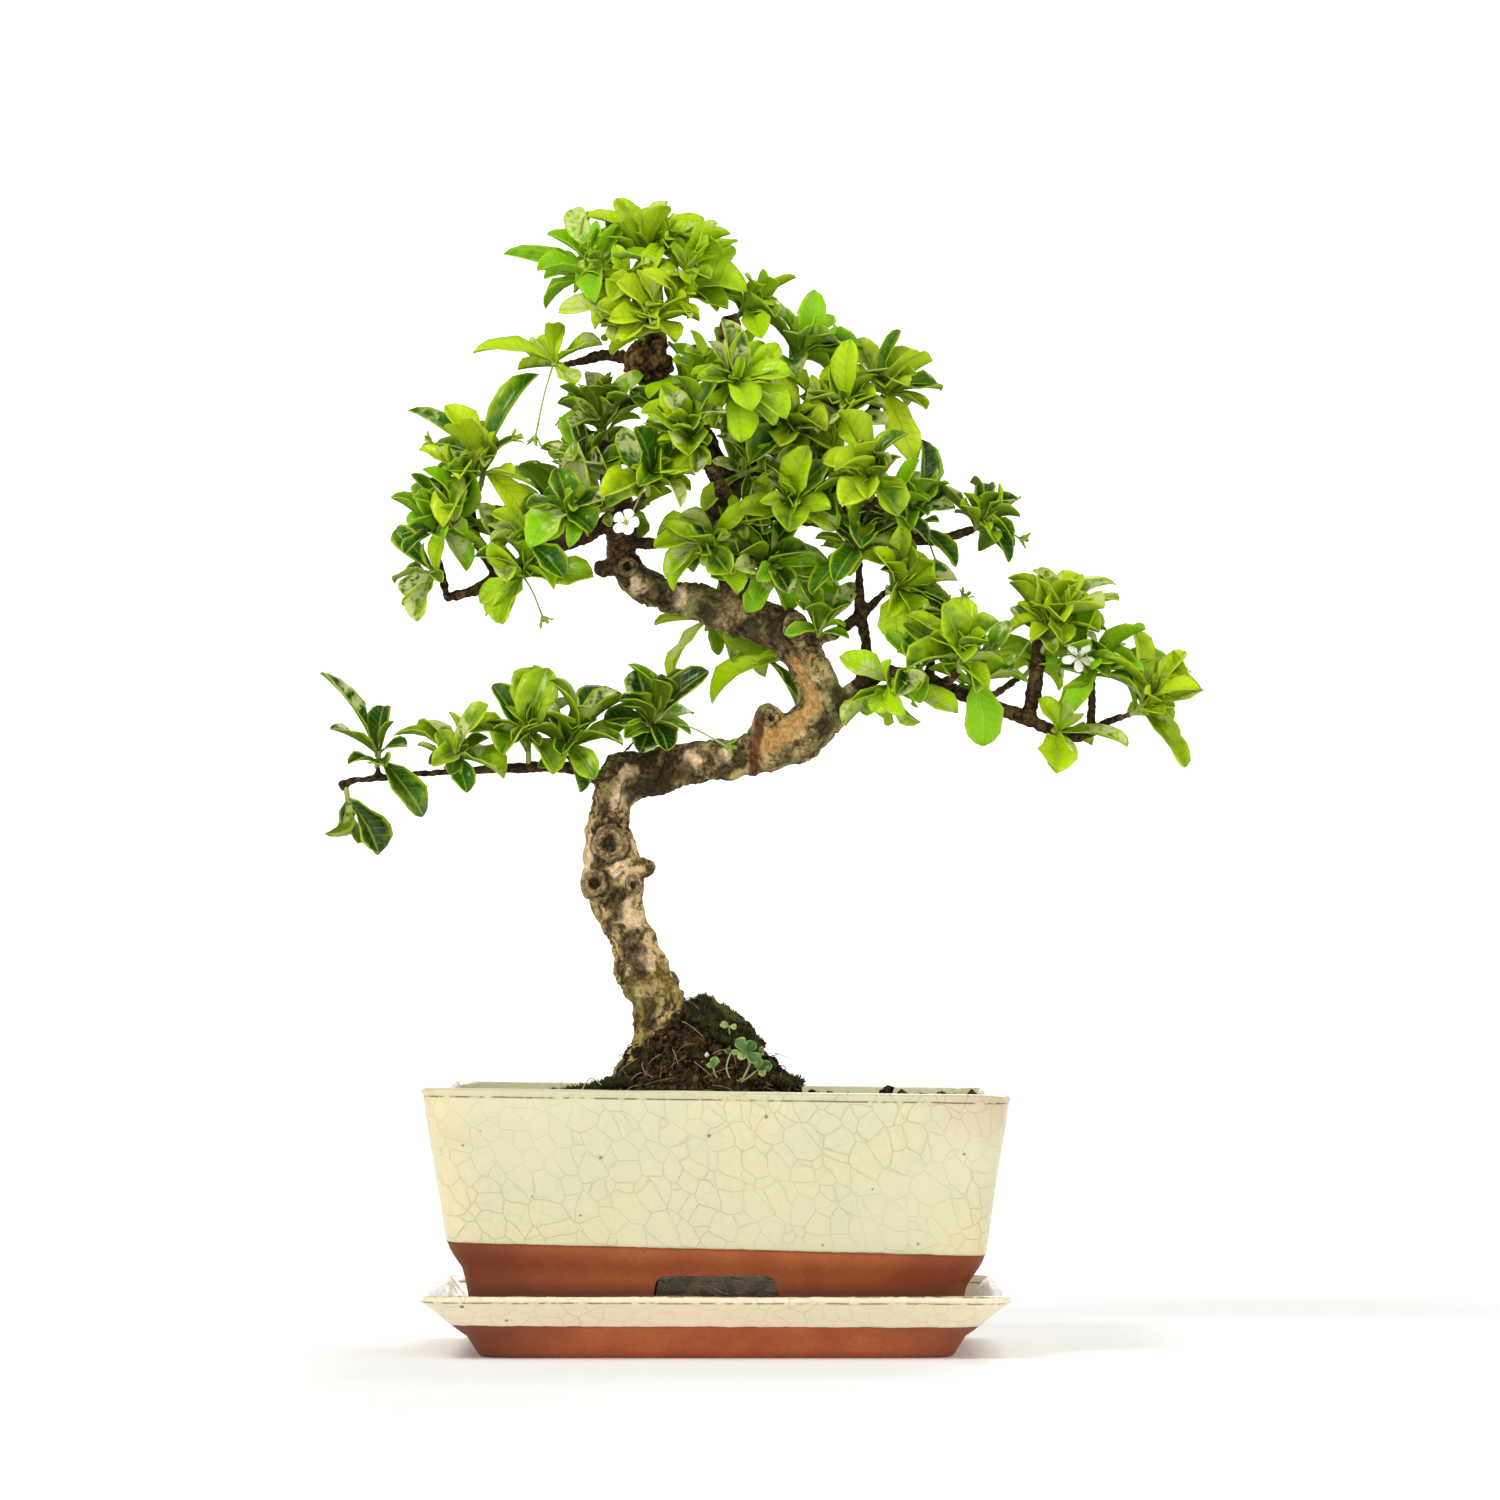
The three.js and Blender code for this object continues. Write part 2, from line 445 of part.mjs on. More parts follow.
function pot() {
  const recess = FOOT_HALF - FOOT_WALL;
  const underside = [[POT_BASE - 5, recess], [POT_FLOOR_UNDER, recess]];
  return roundedBlock(POT_PROFILE, POT_DEPTH_LESS, POT_CORNER)
    .subtract(potHollow(0, POT_FLOOR_TOP, RIM_TOP + 5))
    .subtract(roundedBlock(underside, POT_DEPTH_LESS, POT_CORNER))
    .subtract(throughArch())
    .subtract(drain(-DRAIN_X))
    .subtract(drain(DRAIN_X));
}

function saucer() {
  return roundedBlock(SAUCER_PROFILE, SAUCER_DEPTH_LESS, SAUCER_CORNER)
    .subtract(roundedBlock(SAUCER_HOLLOW, SAUCER_DEPTH_LESS, SAUCER_CORNER - SAUCER_WALL));
}

const SCREEN_Z = POT_FLOOR_TOP + GAP + SCREEN_THICK / 2;

function screen(x) {
  let net = box(SCREEN_SIDE, SCREEN_SIDE, SCREEN_THICK, x, 0, SCREEN_Z);
  for (const i of [-0.5, 0.5]) {
    for (const j of [-0.5, 0.5]) {
      net = net.subtract(box(SCREEN_HOLE, SCREEN_HOLE, 3 * SCREEN_THICK,
        x + i * SCREEN_PITCH, j * SCREEN_PITCH, SCREEN_Z));
    }
  }
  return net;
}

// The rooted mound, swollen by more all round
function mound(more) {
  const profile = MOUND_PROFILE.map(([radius, z], i) => {
    const last = MOUND_PROFILE.length - 1;
    const wide = i === 0 || i === last ? 0 : radius + more;
    return new THREE.Vector2(wide, i < 2 ? z : z + more * 0.8);
  });
  const lathe = new THREE.LatheGeometry(profile, 12);
  lathe.rotateX(Math.PI / 2);
  const spots = lathe.attributes.position;
  for (let i = 0; i < spots.count; i += 1) {
    const [x, y, z] = [spots.getX(i), spots.getY(i), spots.getZ(i)];
    const turn = Math.atan2(y, x);
    const swell = MOUND_WAVES.reduce((sum, [waves, height, twist]) => (
      sum + height * Math.sin(waves * turn + twist * z)), 1);
    spots.setXYZ(i, x * swell + MOUND_X, y * swell + MOUND_Y, z);
  }
  return solidOf(lathe);
}

// A bent, tapering limb with a slightly lobed section
function limb(points, sides, more = 0) {
  const curve = new THREE.CatmullRomCurve3(points.map(vec), false, 'catmullrom', 0.5);
  const rings = points.length;
  const frames = [];
  let normal = vec(TURN_START);
  for (let ring = 0; ring < rings; ring += 1) {
    const along = ring / (rings - 1);
    const tangent = curve.getTangent(along);
    normal = normal.clone().addScaledVector(tangent, -normal.dot(tangent)).normalize();
    frames.push([curve.getPoint(along), normal, tangent.clone().cross(normal), points[ring][3] / 2]);
  }
  return solidOf(ringTube(sides, rings, (ring, turn, across) => {
    const [centre, ahead, beside, radius] = frames[ring];
    const angle = (2 * Math.PI * turn) / sides;
    const lobe = LOBES.reduce((sum, [waves, height, twist]) => (
      sum + height * Math.sin(waves * angle + twist * ring)), 1);
    const reach = across * (radius * lobe + more);
    return centre.clone()
      .addScaledVector(ahead, reach * Math.cos(angle))
      .addScaledVector(beside, reach * Math.sin(angle));
  }));
}

// A burr on the wood, swollen by more
function knot([x, y, z, radius], more) {
  const ball = new THREE.IcosahedronGeometry(radius + more, radius > 5 ? 1 : 0);
  ball.scale(...KNOT_SHAPE);
  return solidOf(ball.translate(x, y, z));
}

// The turn that lays an upright shape along a direction
function turnTo(facing) {
  return new THREE.Quaternion().setFromUnitVectors(UPRIGHT, vec(facing).normalize());
}

// A callus ring round a pruning scar
function scar([x, y, z, radius, facing], more) {
  const ring = new THREE.TorusGeometry(radius, radius * SCAR_LIP + more, 3, 7);
  return solidOf(ring.applyQuaternion(turnTo(facing)).translate(x, y, z));
}

// All the wood above the soil and the trunk's foot in it, swollen by more
function wood(more) {
  const limbs = Object.values(LIMBS).map((points) => {
    const widest = Math.max(...points.map((point) => point[3]));
    const [, sides] = SIDES_BY_DIAMETER.find(([diameter]) => widest >= diameter);
    return limb(points, sides, more);
  });
  const knots = KNOTS.map((spot) => knot(spot, more));
  const scars = SCARS.map((spot) => scar(spot, more));
  return joined([...limbs, ...knots, ...scars]);
}

// Seeded draws between 0 and 1
function draws(seed) {
  let state = seed >>> 0;
  return () => {
    state = (state + 0x6d2b79f5) >>> 0;
    let mixed = Math.imul(state ^ (state >>> 15), state | 1);
    mixed ^= mixed + Math.imul(mixed ^ (mixed >>> 7), mixed | 61);
    return ((mixed ^ (mixed >>> 14)) >>> 0) / 4294967296;
  };
}

const drawn = ([least, more], draw) => least + more * draw;

// A blade's points are the root, left and right of its narrow row, then left, midrib and right of its
// wide row, then the tip
const BLADE_FACE = [0, 2, 1, 1, 2, 4, 1, 4, 3, 2, 5, 4, 3, 4, 6, 4, 5, 6];
const BLADE_EDGE = [0, 2, 5, 6, 3, 1];
const BLADE_POINTS = 7;

// A closed leaf blade. With from above 0, its base is left off up to that share of its length.
function blade({ root, tip, width, up, fold, arch }, thick, from = 0) {
  const along = tip.clone().sub(root);
  const length = along.length();
  along.normalize();
  const side = along.clone().cross(up).normalize();
  const normal = side.clone().cross(along);
  const at = (t, offset) => root.clone()
    .addScaledVector(along, length * t)
    .addScaledVector(side, offset)
    .addScaledVector(normal, Math.abs(offset) * fold + 4 * arch * length * t * (1 - t));
  const points = [at(from, 0)];
  const narrow = (NARROW_WIDTH * width) / 2;
  points.push(at(NARROW_ROW, -narrow), at(NARROW_ROW, narrow));
  points.push(at(WIDE_ROW, -width / 2), at(WIDE_ROW, 0), at(WIDE_ROW, width / 2), at(1, 0));
  const spots = [];
  for (const rise of [thick / 2, -thick / 2]) {
    for (const p of points) {
      spots.push(...p.clone().addScaledVector(normal, rise).toArray());
    }
  }
  const faces = [];
  for (let i = 0; i < BLADE_FACE.length; i += 3) {
    const [a, b, c] = BLADE_FACE.slice(i, i + 3);
    faces.push(a, b, c, BLADE_POINTS + a, BLADE_POINTS + c, BLADE_POINTS + b);
  }
  BLADE_EDGE.forEach((a, i) => {
    const b = BLADE_EDGE[(i + 1) % BLADE_EDGE.length];
    faces.push(BLADE_POINTS + a, BLADE_POINTS + b, b, BLADE_POINTS + a, b, a);
  });
  const geometry = new THREE.BufferGeometry();
  geometry.setAttribute('position', new THREE.BufferAttribute(new Float32Array(spots), 3));
  geometry.setIndex(faces);
  return solidOf(geometry);
}

// The leaf with number i on a shoot, drawn from the middle of its stem. From one attempt to the next,
// a leaf with a place of its own shifts to the front or the back, and the others turn round the shoot.
function leafLine(shootNumber, i, attempt) {
  const [, rootPoint, endPoint, turned, reaching] = SHOOTS[shootNumber];
  const draw = draws((shootNumber + 1) * 1009 + i * 31);
  const [r1, r2, r3, r4] = [draw(), draw(), draw(), draw()];
  const start = vec(rootPoint);
  const stem = vec(endPoint).sub(start);
  const leaf = { fold: drawn(FOLD, r3), arch: drawn(ARCH, r4) };
  if (i < reaching.length) {
    const [x, y, z, width] = reaching[i];
    leaf.root = start.clone().addScaledVector(stem, drawn(REACHING_SEATS, (i + 1) / reaching.length));
    leaf.tip = new THREE.Vector3(x, y + SHIFTS[attempt], z);
    leaf.width = REACHING_WIDEN * width;
    leaf.up = new THREE.Vector3(0.8 * (r1 - 0.5), -0.25 - 0.75 * r2, 0.85);
    return leaf;
  }
  const number = i - reaching.length;
  const share = (number + 1) / turned;
  const axis = stem.clone().normalize();
  const ahead = vec(TURN_START);
  ahead.addScaledVector(axis, -axis.dot(ahead)).normalize();
  const beside = axis.clone().cross(ahead);
  const turn = GOLDEN_TURN * number + r1 + RETRY_TURN * attempt;
  const lean = LEAN[0] - LEAN[1] * share + LEAN[2] * (r2 - 0.5);
  const reach = RULE_LEAF_LENGTH * drawn(SIZE_SHARE, r3);
  leaf.root = start.clone().addScaledVector(stem, drawn(TURNED_SEATS, share));
  leaf.tip = leaf.root.clone()
    .addScaledVector(axis, reach * Math.cos(lean))
    .addScaledVector(ahead, reach * Math.sin(lean) * Math.cos(turn))
    .addScaledVector(beside, reach * Math.sin(lean) * Math.sin(turn));
  leaf.width = RULE_LEAF_WIDTH * drawn(SIZE_SHARE, r4);
  leaf.up = axis.clone().add(new THREE.Vector3(0.3 * (r1 - 0.5), -0.3, 0.8));
  return leaf;
}

// The same leaf with its root moved out to its own side of the stem
function leafOf(shootNumber, i, attempt) {
  const leaf = leafLine(shootNumber, i, attempt);
  const out = leaf.tip.clone().sub(leaf.root).normalize();
  leaf.root.addScaledVector(out, ROOT_OUT);
  return leaf;
}

// A straight round stem from one point to another
function rod(from, to, fromRadius, toRadius, sides = 3) {
  return limb([[...from, 2 * fromRadius], [...to, 2 * toRadius]], sides);
}

// A thin stalk that swells to a bud, or to the cup of a flower that faces a given way, at its end
function stalk(shoot, end, facing) {
  const from = vec(shoot[1]).lerp(vec(shoot[2]), STALK_SEAT);
  const line = end.clone().sub(from);
  const heading = facing ? vec(facing).normalize() : line.clone().normalize();
  const neck = end.clone().addScaledVector(heading, -2 * BUD_RADIUS);
  const belly = end.clone().addScaledVector(heading, -BUD_RADIUS);
  const middle = from.clone().lerp(neck, 0.5);
  middle.z += STALK_BOW * line.length();
  const thin = 2 * STALK_RADIUS;
  const points = [[from, thin], [middle, thin], [neck, thin], [belly, 2 * BUD_RADIUS], [end, thin]];
  return limb(points.map(([spot, thick]) => [...spot.toArray(), thick]), 3);
}

// A flower: five rounded lobes joined at the middle, dished towards its face
function bloomPetals([, , centre, facing, across]) {
  const outline = new THREE.Shape();
  const steps = PETALS * PETAL_REACH.length;
  for (let i = 0; i < steps; i += 1) {
    const turn = (2 * Math.PI * i) / steps;
    const reach = (PETAL_REACH[i % PETAL_REACH.length] * across) / 2;
    const corner = [reach * Math.cos(turn), reach * Math.sin(turn)];
    if (i === 0) {
      outline.moveTo(...corner);
    } else {
      outline.lineTo(...corner);
    }
  }
  const corolla = new THREE.ExtrudeGeometry(outline, { depth: BLADE_THICK, bevelEnabled: false });
  const spots = corolla.attributes.position;
  for (let i = 0; i < spots.count; i += 1) {
    const reach = Math.hypot(spots.getX(i), spots.getY(i)) / across;
    spots.setZ(i, spots.getZ(i) + PETAL_DISH * across * reach * reach);
  }
  return solidOf(corolla.applyQuaternion(turnTo(facing)).translate(...centre));
}

// Everything that the leaves keep clear of, with the shoot that owns it
const placed = [];

// Leaves of the same shoot only keep clear of the outer part, if there is one
function place(owner, whole, outer) {
  const { min, max } = whole.boundingBox();
  placed.push({ owner, whole, outer, min, max });
}

function isClear(owner, whole, outer, woodGap) {
  const { min, max } = whole.boundingBox();
  for (const other of placed) {
    const near = [0, 1, 2].every((axis) => min[axis] < other.max[axis] && max[axis] > other.min[axis]);
    const own = other.owner === owner;
    if (near && !(own && !other.outer)) {
      const shared = own ? outer.intersect(other.outer) : whole.intersect(other.whole);
      if (!shared.isEmpty()) {
        return false;
      }
    }
  }
  return whole.intersect(woodGap).isEmpty();
}

// The green stem of a shoot, from where it leaves the wood
function shootStem([, root, end], woodGap) {
  const line = vec(end).sub(vec(root));
  const steps = Math.ceil(line.length() / STEM_STEP);
  for (let i = 0; i < steps; i += 1) {
    const from = vec(root).addScaledVector(line, i / steps);
    const stem = rod(from.toArray(), end, SHOOT_RADIUS, 0.8 * SHOOT_RADIUS);
    if (stem.intersect(woodGap).isEmpty()) {
      return stem;
    }
  }
  throw new Error(`a shoot that ends at ${end} never leaves the wood`);
}

// Stems and stalks first, then leaves with a place of their own, then the leaves between them
function shootSolids(woodGap) {
  const parts = SHOOTS.map((shoot, number) => {
    const stem = shootStem(shoot, woodGap);
    const stalks = shoot[5].map((end) => stalk(shoot, vec(end)));
    for (const [, owner, centre, facing] of BLOOMS) {
      if (owner === shoot[0]) {
        const cup = vec(centre).addScaledVector(vec(facing).normalize(), -BLOOM_CUP_BACK);
        stalks.push(stalk(shoot, cup, facing));
      }
    }
    [stem, ...stalks].forEach((solid) => place(number, solid, null));
    return [stem, ...stalks];
  });
  for (const reaching of [true, false]) {
    SHOOTS.forEach((shoot, number) => {
      const first = reaching ? 0 : shoot[4].length;
      const last = reaching ? shoot[4].length : shoot[4].length + shoot[3];
      for (let i = first; i < last; i += 1) {
        for (let attempt = 0; attempt < SHIFTS.length; attempt += 1) {
          const leaf = leafOf(number, i, attempt);
          const whole = blade(leaf, BLADE_THICK + 2 * GAP);
          const outer = blade(leaf, BLADE_THICK + 2 * GAP, OUTER_FROM);
          if (isClear(number, whole, outer, woodGap)) {
            const solid = blade(leaf, BLADE_THICK);
            place(number, solid, blade(leaf, BLADE_THICK, OUTER_FROM));
            parts[number].push(solid);
            break;
          }
        }
      }
    });
  }
  return parts.map((solids) => largest(joined(solids)));
}

// A seedling with round leaves on thin stems, from one crown in the soil
function seedling() {
  const [x, y, z] = SEEDLING_CROWN;
  const crown = SEEDLING_CROWN_RADIUS;
  const pieces = [rod([x, y, z - SEEDLING_ROOT], [x, y, z + 1.5], crown, 0.8 * crown)];
  SEEDLING_LEAVES.forEach(([dx, dy, dz], i) => {
    const top = [x + dx, y + dy, z + dz];
    pieces.push(rod([x, y, z], top, SEEDLING_STEM_RADIUS, SEEDLING_STEM_RADIUS, 4));
    for (const turn of [i * GOLDEN_TURN, i * GOLDEN_TURN + SEEDLING_PAIR_TURN]) {
      const out = new THREE.Vector3(Math.cos(turn), Math.sin(turn), 0.3);
      pieces.push(blade({
        root: vec(top).addScaledVector(out, 0.15).addScaledVector(UPRIGHT, -0.5),
        tip: vec(top).addScaledVector(out, SEEDLING_LEAF),
        width: SEEDLING_LEAF_WIDTH,
        up: new THREE.Vector3(0, -0.6, 1),
        fold: FOLD[0],
        arch: ARCH[0],
      }, BLADE_THICK));
    }
  });
  return joined(pieces);
}

// The plain round hole in the soil that the seedling stands in
function seedlingHole() {
  const [x, y, z] = SEEDLING_CROWN;
  const radius = SEEDLING_CROWN_RADIUS + GAP;
  return rod([x, y, z - SEEDLING_ROOT - GAP], [x, y, z + 5 * SEEDLING_ROOT], radius, radius, 8);
}

// Soil that fills the pot and rises to the mound, with room for the wood and the screens
function soil(woodGap) {
  const filling = potHollow(GAP, POT_FLOOR_TOP + GAP, SOIL_TOP).add(mound(0));
  const pockets = [-DRAIN_X, DRAIN_X].map((x) => box(SCREEN_SIDE + 2 * GAP, SCREEN_SIDE + 2 * GAP,
    2 * (SCREEN_THICK + 2 * GAP), x, 0, POT_FLOOR_TOP));
  return largest(filling.subtract(joined([woodGap, seedlingHole(), ...pockets])));
}

// Moss on the upper right of the mound
function moss(woodGap) {
  const patch = new THREE.IcosahedronGeometry(1, 1);
  patch.scale(...MOSS_REACH);
  patch.translate(...MOSS_MIDDLE);
  return largest(mound(MOSS_THICK).intersect(solidOf(patch)).subtract(mound(GAP)).subtract(woodGap));
}

function meshOf(name, solid, color, roughness) {
  const { vertProperties, triVerts } = solid.getMesh();
  const geometry = new THREE.BufferGeometry();
  geometry.setAttribute('position', new THREE.BufferAttribute(vertProperties, 3));
  geometry.setIndex(new THREE.BufferAttribute(triVerts, 1));
  geometry.computeVertexNormals();
  const material = new THREE.MeshStandardMaterial({ color, roughness, metalness: 0 });
  const mesh = new THREE.Mesh(geometry, material);
  mesh.name = name;
  return mesh;
}

const LEAF_COLOURS = [0x6fae1c, 0x4f9222, 0x2f6f24, 0x8cc63a];
const bonsai = new THREE.Group();
const woodGap = wood(GAP);

bonsai.add(meshOf('saucer', saucer(), 0xf2e6c4, 0.3));
bonsai.add(meshOf('pot', pot(), 0xece6bd, 0.25));
bonsai.add(meshOf('screen_left', screen(-DRAIN_X), 0x2a2a28, 0.6));
bonsai.add(meshOf('screen_right', screen(DRAIN_X), 0x2a2a28, 0.6));
bonsai.add(meshOf('soil', soil(woodGap), 0x2f2015, 0.95));
bonsai.add(meshOf('moss', moss(woodGap), 0x3c4a1c, 0.95));
bonsai.add(meshOf('seedling', seedling(), 0x7fae4a, 0.6));
bonsai.add(meshOf('tree', wood(0), 0xa89070, 0.85));
for (const bloom of BLOOMS) {
  const petals = bloomPetals(bloom);
  place(-1, petals, null);
  bonsai.add(meshOf(bloom[0], petals, 0xfaf8ee, 0.6));
}
shootSolids(woodGap).forEach((solid, number) => {
  const colour = LEAF_COLOURS[number % LEAF_COLOURS.length];
  bonsai.add(meshOf(`shoot_${SHOOTS[number][0]}`, solid, colour, 0.4));
});

export default bonsai;
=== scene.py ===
# %% [markdown]
# This lesson dresses a small potted tree round a finished CAD model. The CAD model fixes where every
# piece is and how big it is. Here each piece gets the shape and the finish that the eye looks for:
# glaze that has crackled, bark that has cracked, and leaves with veins. Everything is in metres, and
# the origin is the middle of the saucer's underside.

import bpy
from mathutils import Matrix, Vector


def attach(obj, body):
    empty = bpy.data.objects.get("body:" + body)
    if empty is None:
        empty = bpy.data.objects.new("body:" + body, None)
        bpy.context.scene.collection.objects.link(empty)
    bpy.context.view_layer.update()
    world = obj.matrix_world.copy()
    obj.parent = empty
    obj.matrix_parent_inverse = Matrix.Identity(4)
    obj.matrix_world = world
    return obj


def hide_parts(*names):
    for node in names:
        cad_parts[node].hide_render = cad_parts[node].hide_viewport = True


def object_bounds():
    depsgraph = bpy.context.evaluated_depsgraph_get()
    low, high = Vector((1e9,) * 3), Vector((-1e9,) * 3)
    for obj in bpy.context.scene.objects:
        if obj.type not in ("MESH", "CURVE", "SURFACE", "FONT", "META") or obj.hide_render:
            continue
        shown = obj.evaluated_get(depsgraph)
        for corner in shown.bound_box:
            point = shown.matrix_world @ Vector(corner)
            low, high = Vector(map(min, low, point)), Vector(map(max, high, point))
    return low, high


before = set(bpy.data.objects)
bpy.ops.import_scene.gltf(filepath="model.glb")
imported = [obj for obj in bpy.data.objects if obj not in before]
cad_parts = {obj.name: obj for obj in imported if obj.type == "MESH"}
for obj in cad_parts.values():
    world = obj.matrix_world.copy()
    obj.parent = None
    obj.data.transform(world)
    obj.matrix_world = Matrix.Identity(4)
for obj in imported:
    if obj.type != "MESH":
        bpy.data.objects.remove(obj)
cad_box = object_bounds()
print("nodes to dress:", len(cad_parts))

# %% The other tools that the cells use
import math

import bmesh
import bpy
from mathutils import Matrix, Vector, bvhtree, kdtree, noise

MM = 0.001
scene = bpy.context.scene
# Noise vectors start from the clock unless they are seeded, and the bark would differ from run to run
noise.seed_set(1)
print("one millimetre is", MM, "of a Blender unit")

# %% [markdown]
# The camera comes first. The photograph was taken from about
# two metres, nearly level with the pot's rim and tilted up a little. A long lens from far away keeps
# the pot's edges almost parallel, which a short lens from close by would not.

# %% The camera
CAMERA_PLACE = (0.0115, -2.0, 0.1264)
CAMERA_TILT_UP = math.radians(2.354)
camera = bpy.data.objects.new("camera", bpy.data.cameras.new("camera"))
camera.data.lens = 137.2
camera.data.sensor_width = 36
camera.location = CAMERA_PLACE
camera.rotation_euler = (math.radians(90) + CAMERA_TILT_UP, 0, 0)
scene.collection.objects.link(camera)
scene.camera = camera
print("camera looks up by", round(math.degrees(CAMERA_TILT_UP), 2), "degrees")

# %% [markdown]
# Soft light comes from large lamps, because a lamp's size sets how soft the edge of its shadow is. One
# key lamp stands high in front on the left, a weaker one fills the right side, and one hangs behind so
# that thin leaves glow.


# %% Lamps and sky
def lamp(name, place, size, watts):
    """A square lamp that faces the middle of the tree."""
    light = bpy.data.lights.new(name, "AREA")
    light.size = size
    light.energy = watts
    made = bpy.data.objects.new(name, light)
    made.location = place
    middle = Vector((0, 0, 0.2))
    made.rotation_euler = (middle - Vector(place)).to_track_quat("-Z", "Y").to_euler()
    scene.collection.objects.link(made)
    return made


lamp("key_lamp", (-1.2, -1.5, 1.9), 0.7, 30)
lamp("fill_lamp", (1.7, -1.3, 0.9), 1.2, 8)
lamp("back_lamp", (0.5, 1.5, 1.6), 1.0, 18)
sky = bpy.data.worlds.new("sky")
sky.use_nodes = True
sky.node_tree.nodes["Background"].inputs["Color"].default_value = (1, 1, 1, 1)
sky.node_tree.nodes["Background"].inputs["Strength"].default_value = 0.42
scene.world = sky
scene.view_settings.view_transform = "Standard"

# %% [markdown]
# Materials are built from nodes. Their maths reads best as plain sums, so a small class wraps a socket
# and turns `a * 2 + b` into Math nodes. A second class holds one material and has a single method for
# any other kind of node.


# %% Shader sums in plain Python
class Wire:
    """One output socket of a material."""

    def __init__(self, finish, socket):
        self.finish = finish
        self.socket = socket

    def maths(self, operation, *values):
        settings = {"operation": operation}
        return self.finish.node("ShaderNodeMath", settings, dict(enumerate(values)))

    def __add__(self, other):
        return self.maths("ADD", self, other)

    __radd__ = __add__

    def __sub__(self, other):
        return self.maths("SUBTRACT", self, other)

    def __rsub__(self, other):
        return self.maths("SUBTRACT", other, self)

    def __mul__(self, other):
        return self.maths("MULTIPLY", self, other)

    __rmul__ = __mul__

    def __abs__(self):
        return self.maths("ABSOLUTE", self)

    def most(self, other):
        return self.maths("MAXIMUM", self, other)

    def fraction(self):
        return self.maths("FRACT", self)

    def step(self, low, high):
        """0 below low, 1 above high, and smooth between. With low above high it runs the other way."""
        settings = {"interpolation_type": "SMOOTHSTEP"}
        if low < high:
            return self.finish.node("ShaderNodeMapRange", settings, {0: self, 1: low, 2: high})
        return 1 - self.finish.node("ShaderNodeMapRange", settings, {0: self, 1: high, 2: low})


def tint(code):
    """The linear colour for a hex code as a painter would mix it."""
    parts = [int(code[i : i + 2], 16) / 255 for i in (1, 3, 5)]
    return (*[part / 12.92 if part < 0.04 else ((part + 0.055) / 1.055) ** 2.4 for part in parts], 1)


# Noise repeats its grid on walls that are square to it, so patterns are turned away from the axes
ASKEW = (0.6, 0.45, 0.9)


class Finish:
    """One material while it is built."""

    def __init__(self, name, **constants):
        self.material = bpy.data.materials.new(name)
        self.material.use_nodes = True
        self.tree = self.material.node_tree
        self.skin = self.tree.nodes["Principled BSDF"]
        for key, value in constants.items():
            self.skin.inputs[key.replace("_", " ")].default_value = value
        self.straight = self.node("ShaderNodeTexCoord", output="Object")
        self.place = self.node("ShaderNodeMapping", {}, {"Vector": self.straight, "Rotation": ASKEW})

    def node(self, kind, settings=None, values=None, output=0):
        made = self.tree.nodes.new(kind)
        for key, value in (settings or {}).items():
            setattr(made, key, value)
        for key, value in (values or {}).items():
            self.feed(made.inputs[key], value)
        return Wire(self, made.outputs[output])

    def feed(self, socket, value):
        if isinstance(value, Wire):
            self.tree.links.new(value.socket, socket)
        else:
            socket.default_value = value

    def mix(self, share, first, second):
        values = {0: share, 6: first, 7: second}
        return self.node("ShaderNodeMix", {"data_type": "RGBA"}, values, output=2)

    def over(self, body, *coats):
        """Lays colours over a body one after another, each by its share."""
        for share, code in coats:
            body = self.mix(share, body, tint(code))
        return body

    def clouds(self, scale, detail=2.0, roughness=0.5):
        values = {"Vector": self.place, "Scale": scale, "Detail": detail, "Roughness": roughness}
        return self.node("ShaderNodeTexNoise", {}, values)

    def cells(self, scale, feature="F1", place=None):
        values = {"Vector": place or self.place, "Scale": scale}
        return self.node("ShaderNodeTexVoronoi", {"feature": feature}, values)

    def axis(self, letter):
        return self.node("ShaderNodeSeparateXYZ", {}, {0: self.straight}, output=letter)

    def apart(self, spot):
        """The distance to a spot, both in millimetres."""
        values = {0: self.straight, 1: tuple(part * MM for part in spot)}
        return self.node("ShaderNodeVectorMath", {"operation": "DISTANCE"}, values, output="Value") * 1000

    def mark(self, name):
        """A number that the mesh carries at each point."""
        return self.node("ShaderNodeAttribute", {"attribute_name": name}, output="Fac")

    def shifted(self, by, amount):
        """The place, pushed about by a noise, so that lines on it wander."""
        values = {"Vector": self.place, "Scale": by, "Detail": 2.0}
        cloud = self.node("ShaderNodeTexNoise", {}, values, output="Color")
        middle = self.node("ShaderNodeVectorMath", {"operation": "SUBTRACT"}, {0: cloud, 1: (0.5, 0.5, 0.5)})
        settings = {"operation": "MULTIPLY_ADD"}
        return self.node("ShaderNodeVectorMath", settings, {0: middle, 1: (amount,) * 3, 2: self.place})

    def colour(self, value):
        self.feed(self.skin.inputs["Base Color"], value)
        return self

    def rough(self, value):
        self.feed(self.skin.inputs["Roughness"], value)
        return self

    def bump(self, height, depth):
        """Raises the surface by depth where height is 1."""
        values = {"Height": height, "Distance": depth}
        self.feed(self.skin.inputs["Normal"], self.node("ShaderNodeBump", {}, values))
        return self


print("a mixed tint:", [round(part, 3) for part in tint("#EDE8BE")])

# %% [markdown]
# The pot stands in a white bowl of a studio: a round floor whose rim curves up into a wall. A flat floor
# would end in a hard line behind the pot. One profile, spun round the middle, makes the whole bowl. Far
# from the pot the paper glows a little, as a backdrop does that has lamps of its own.


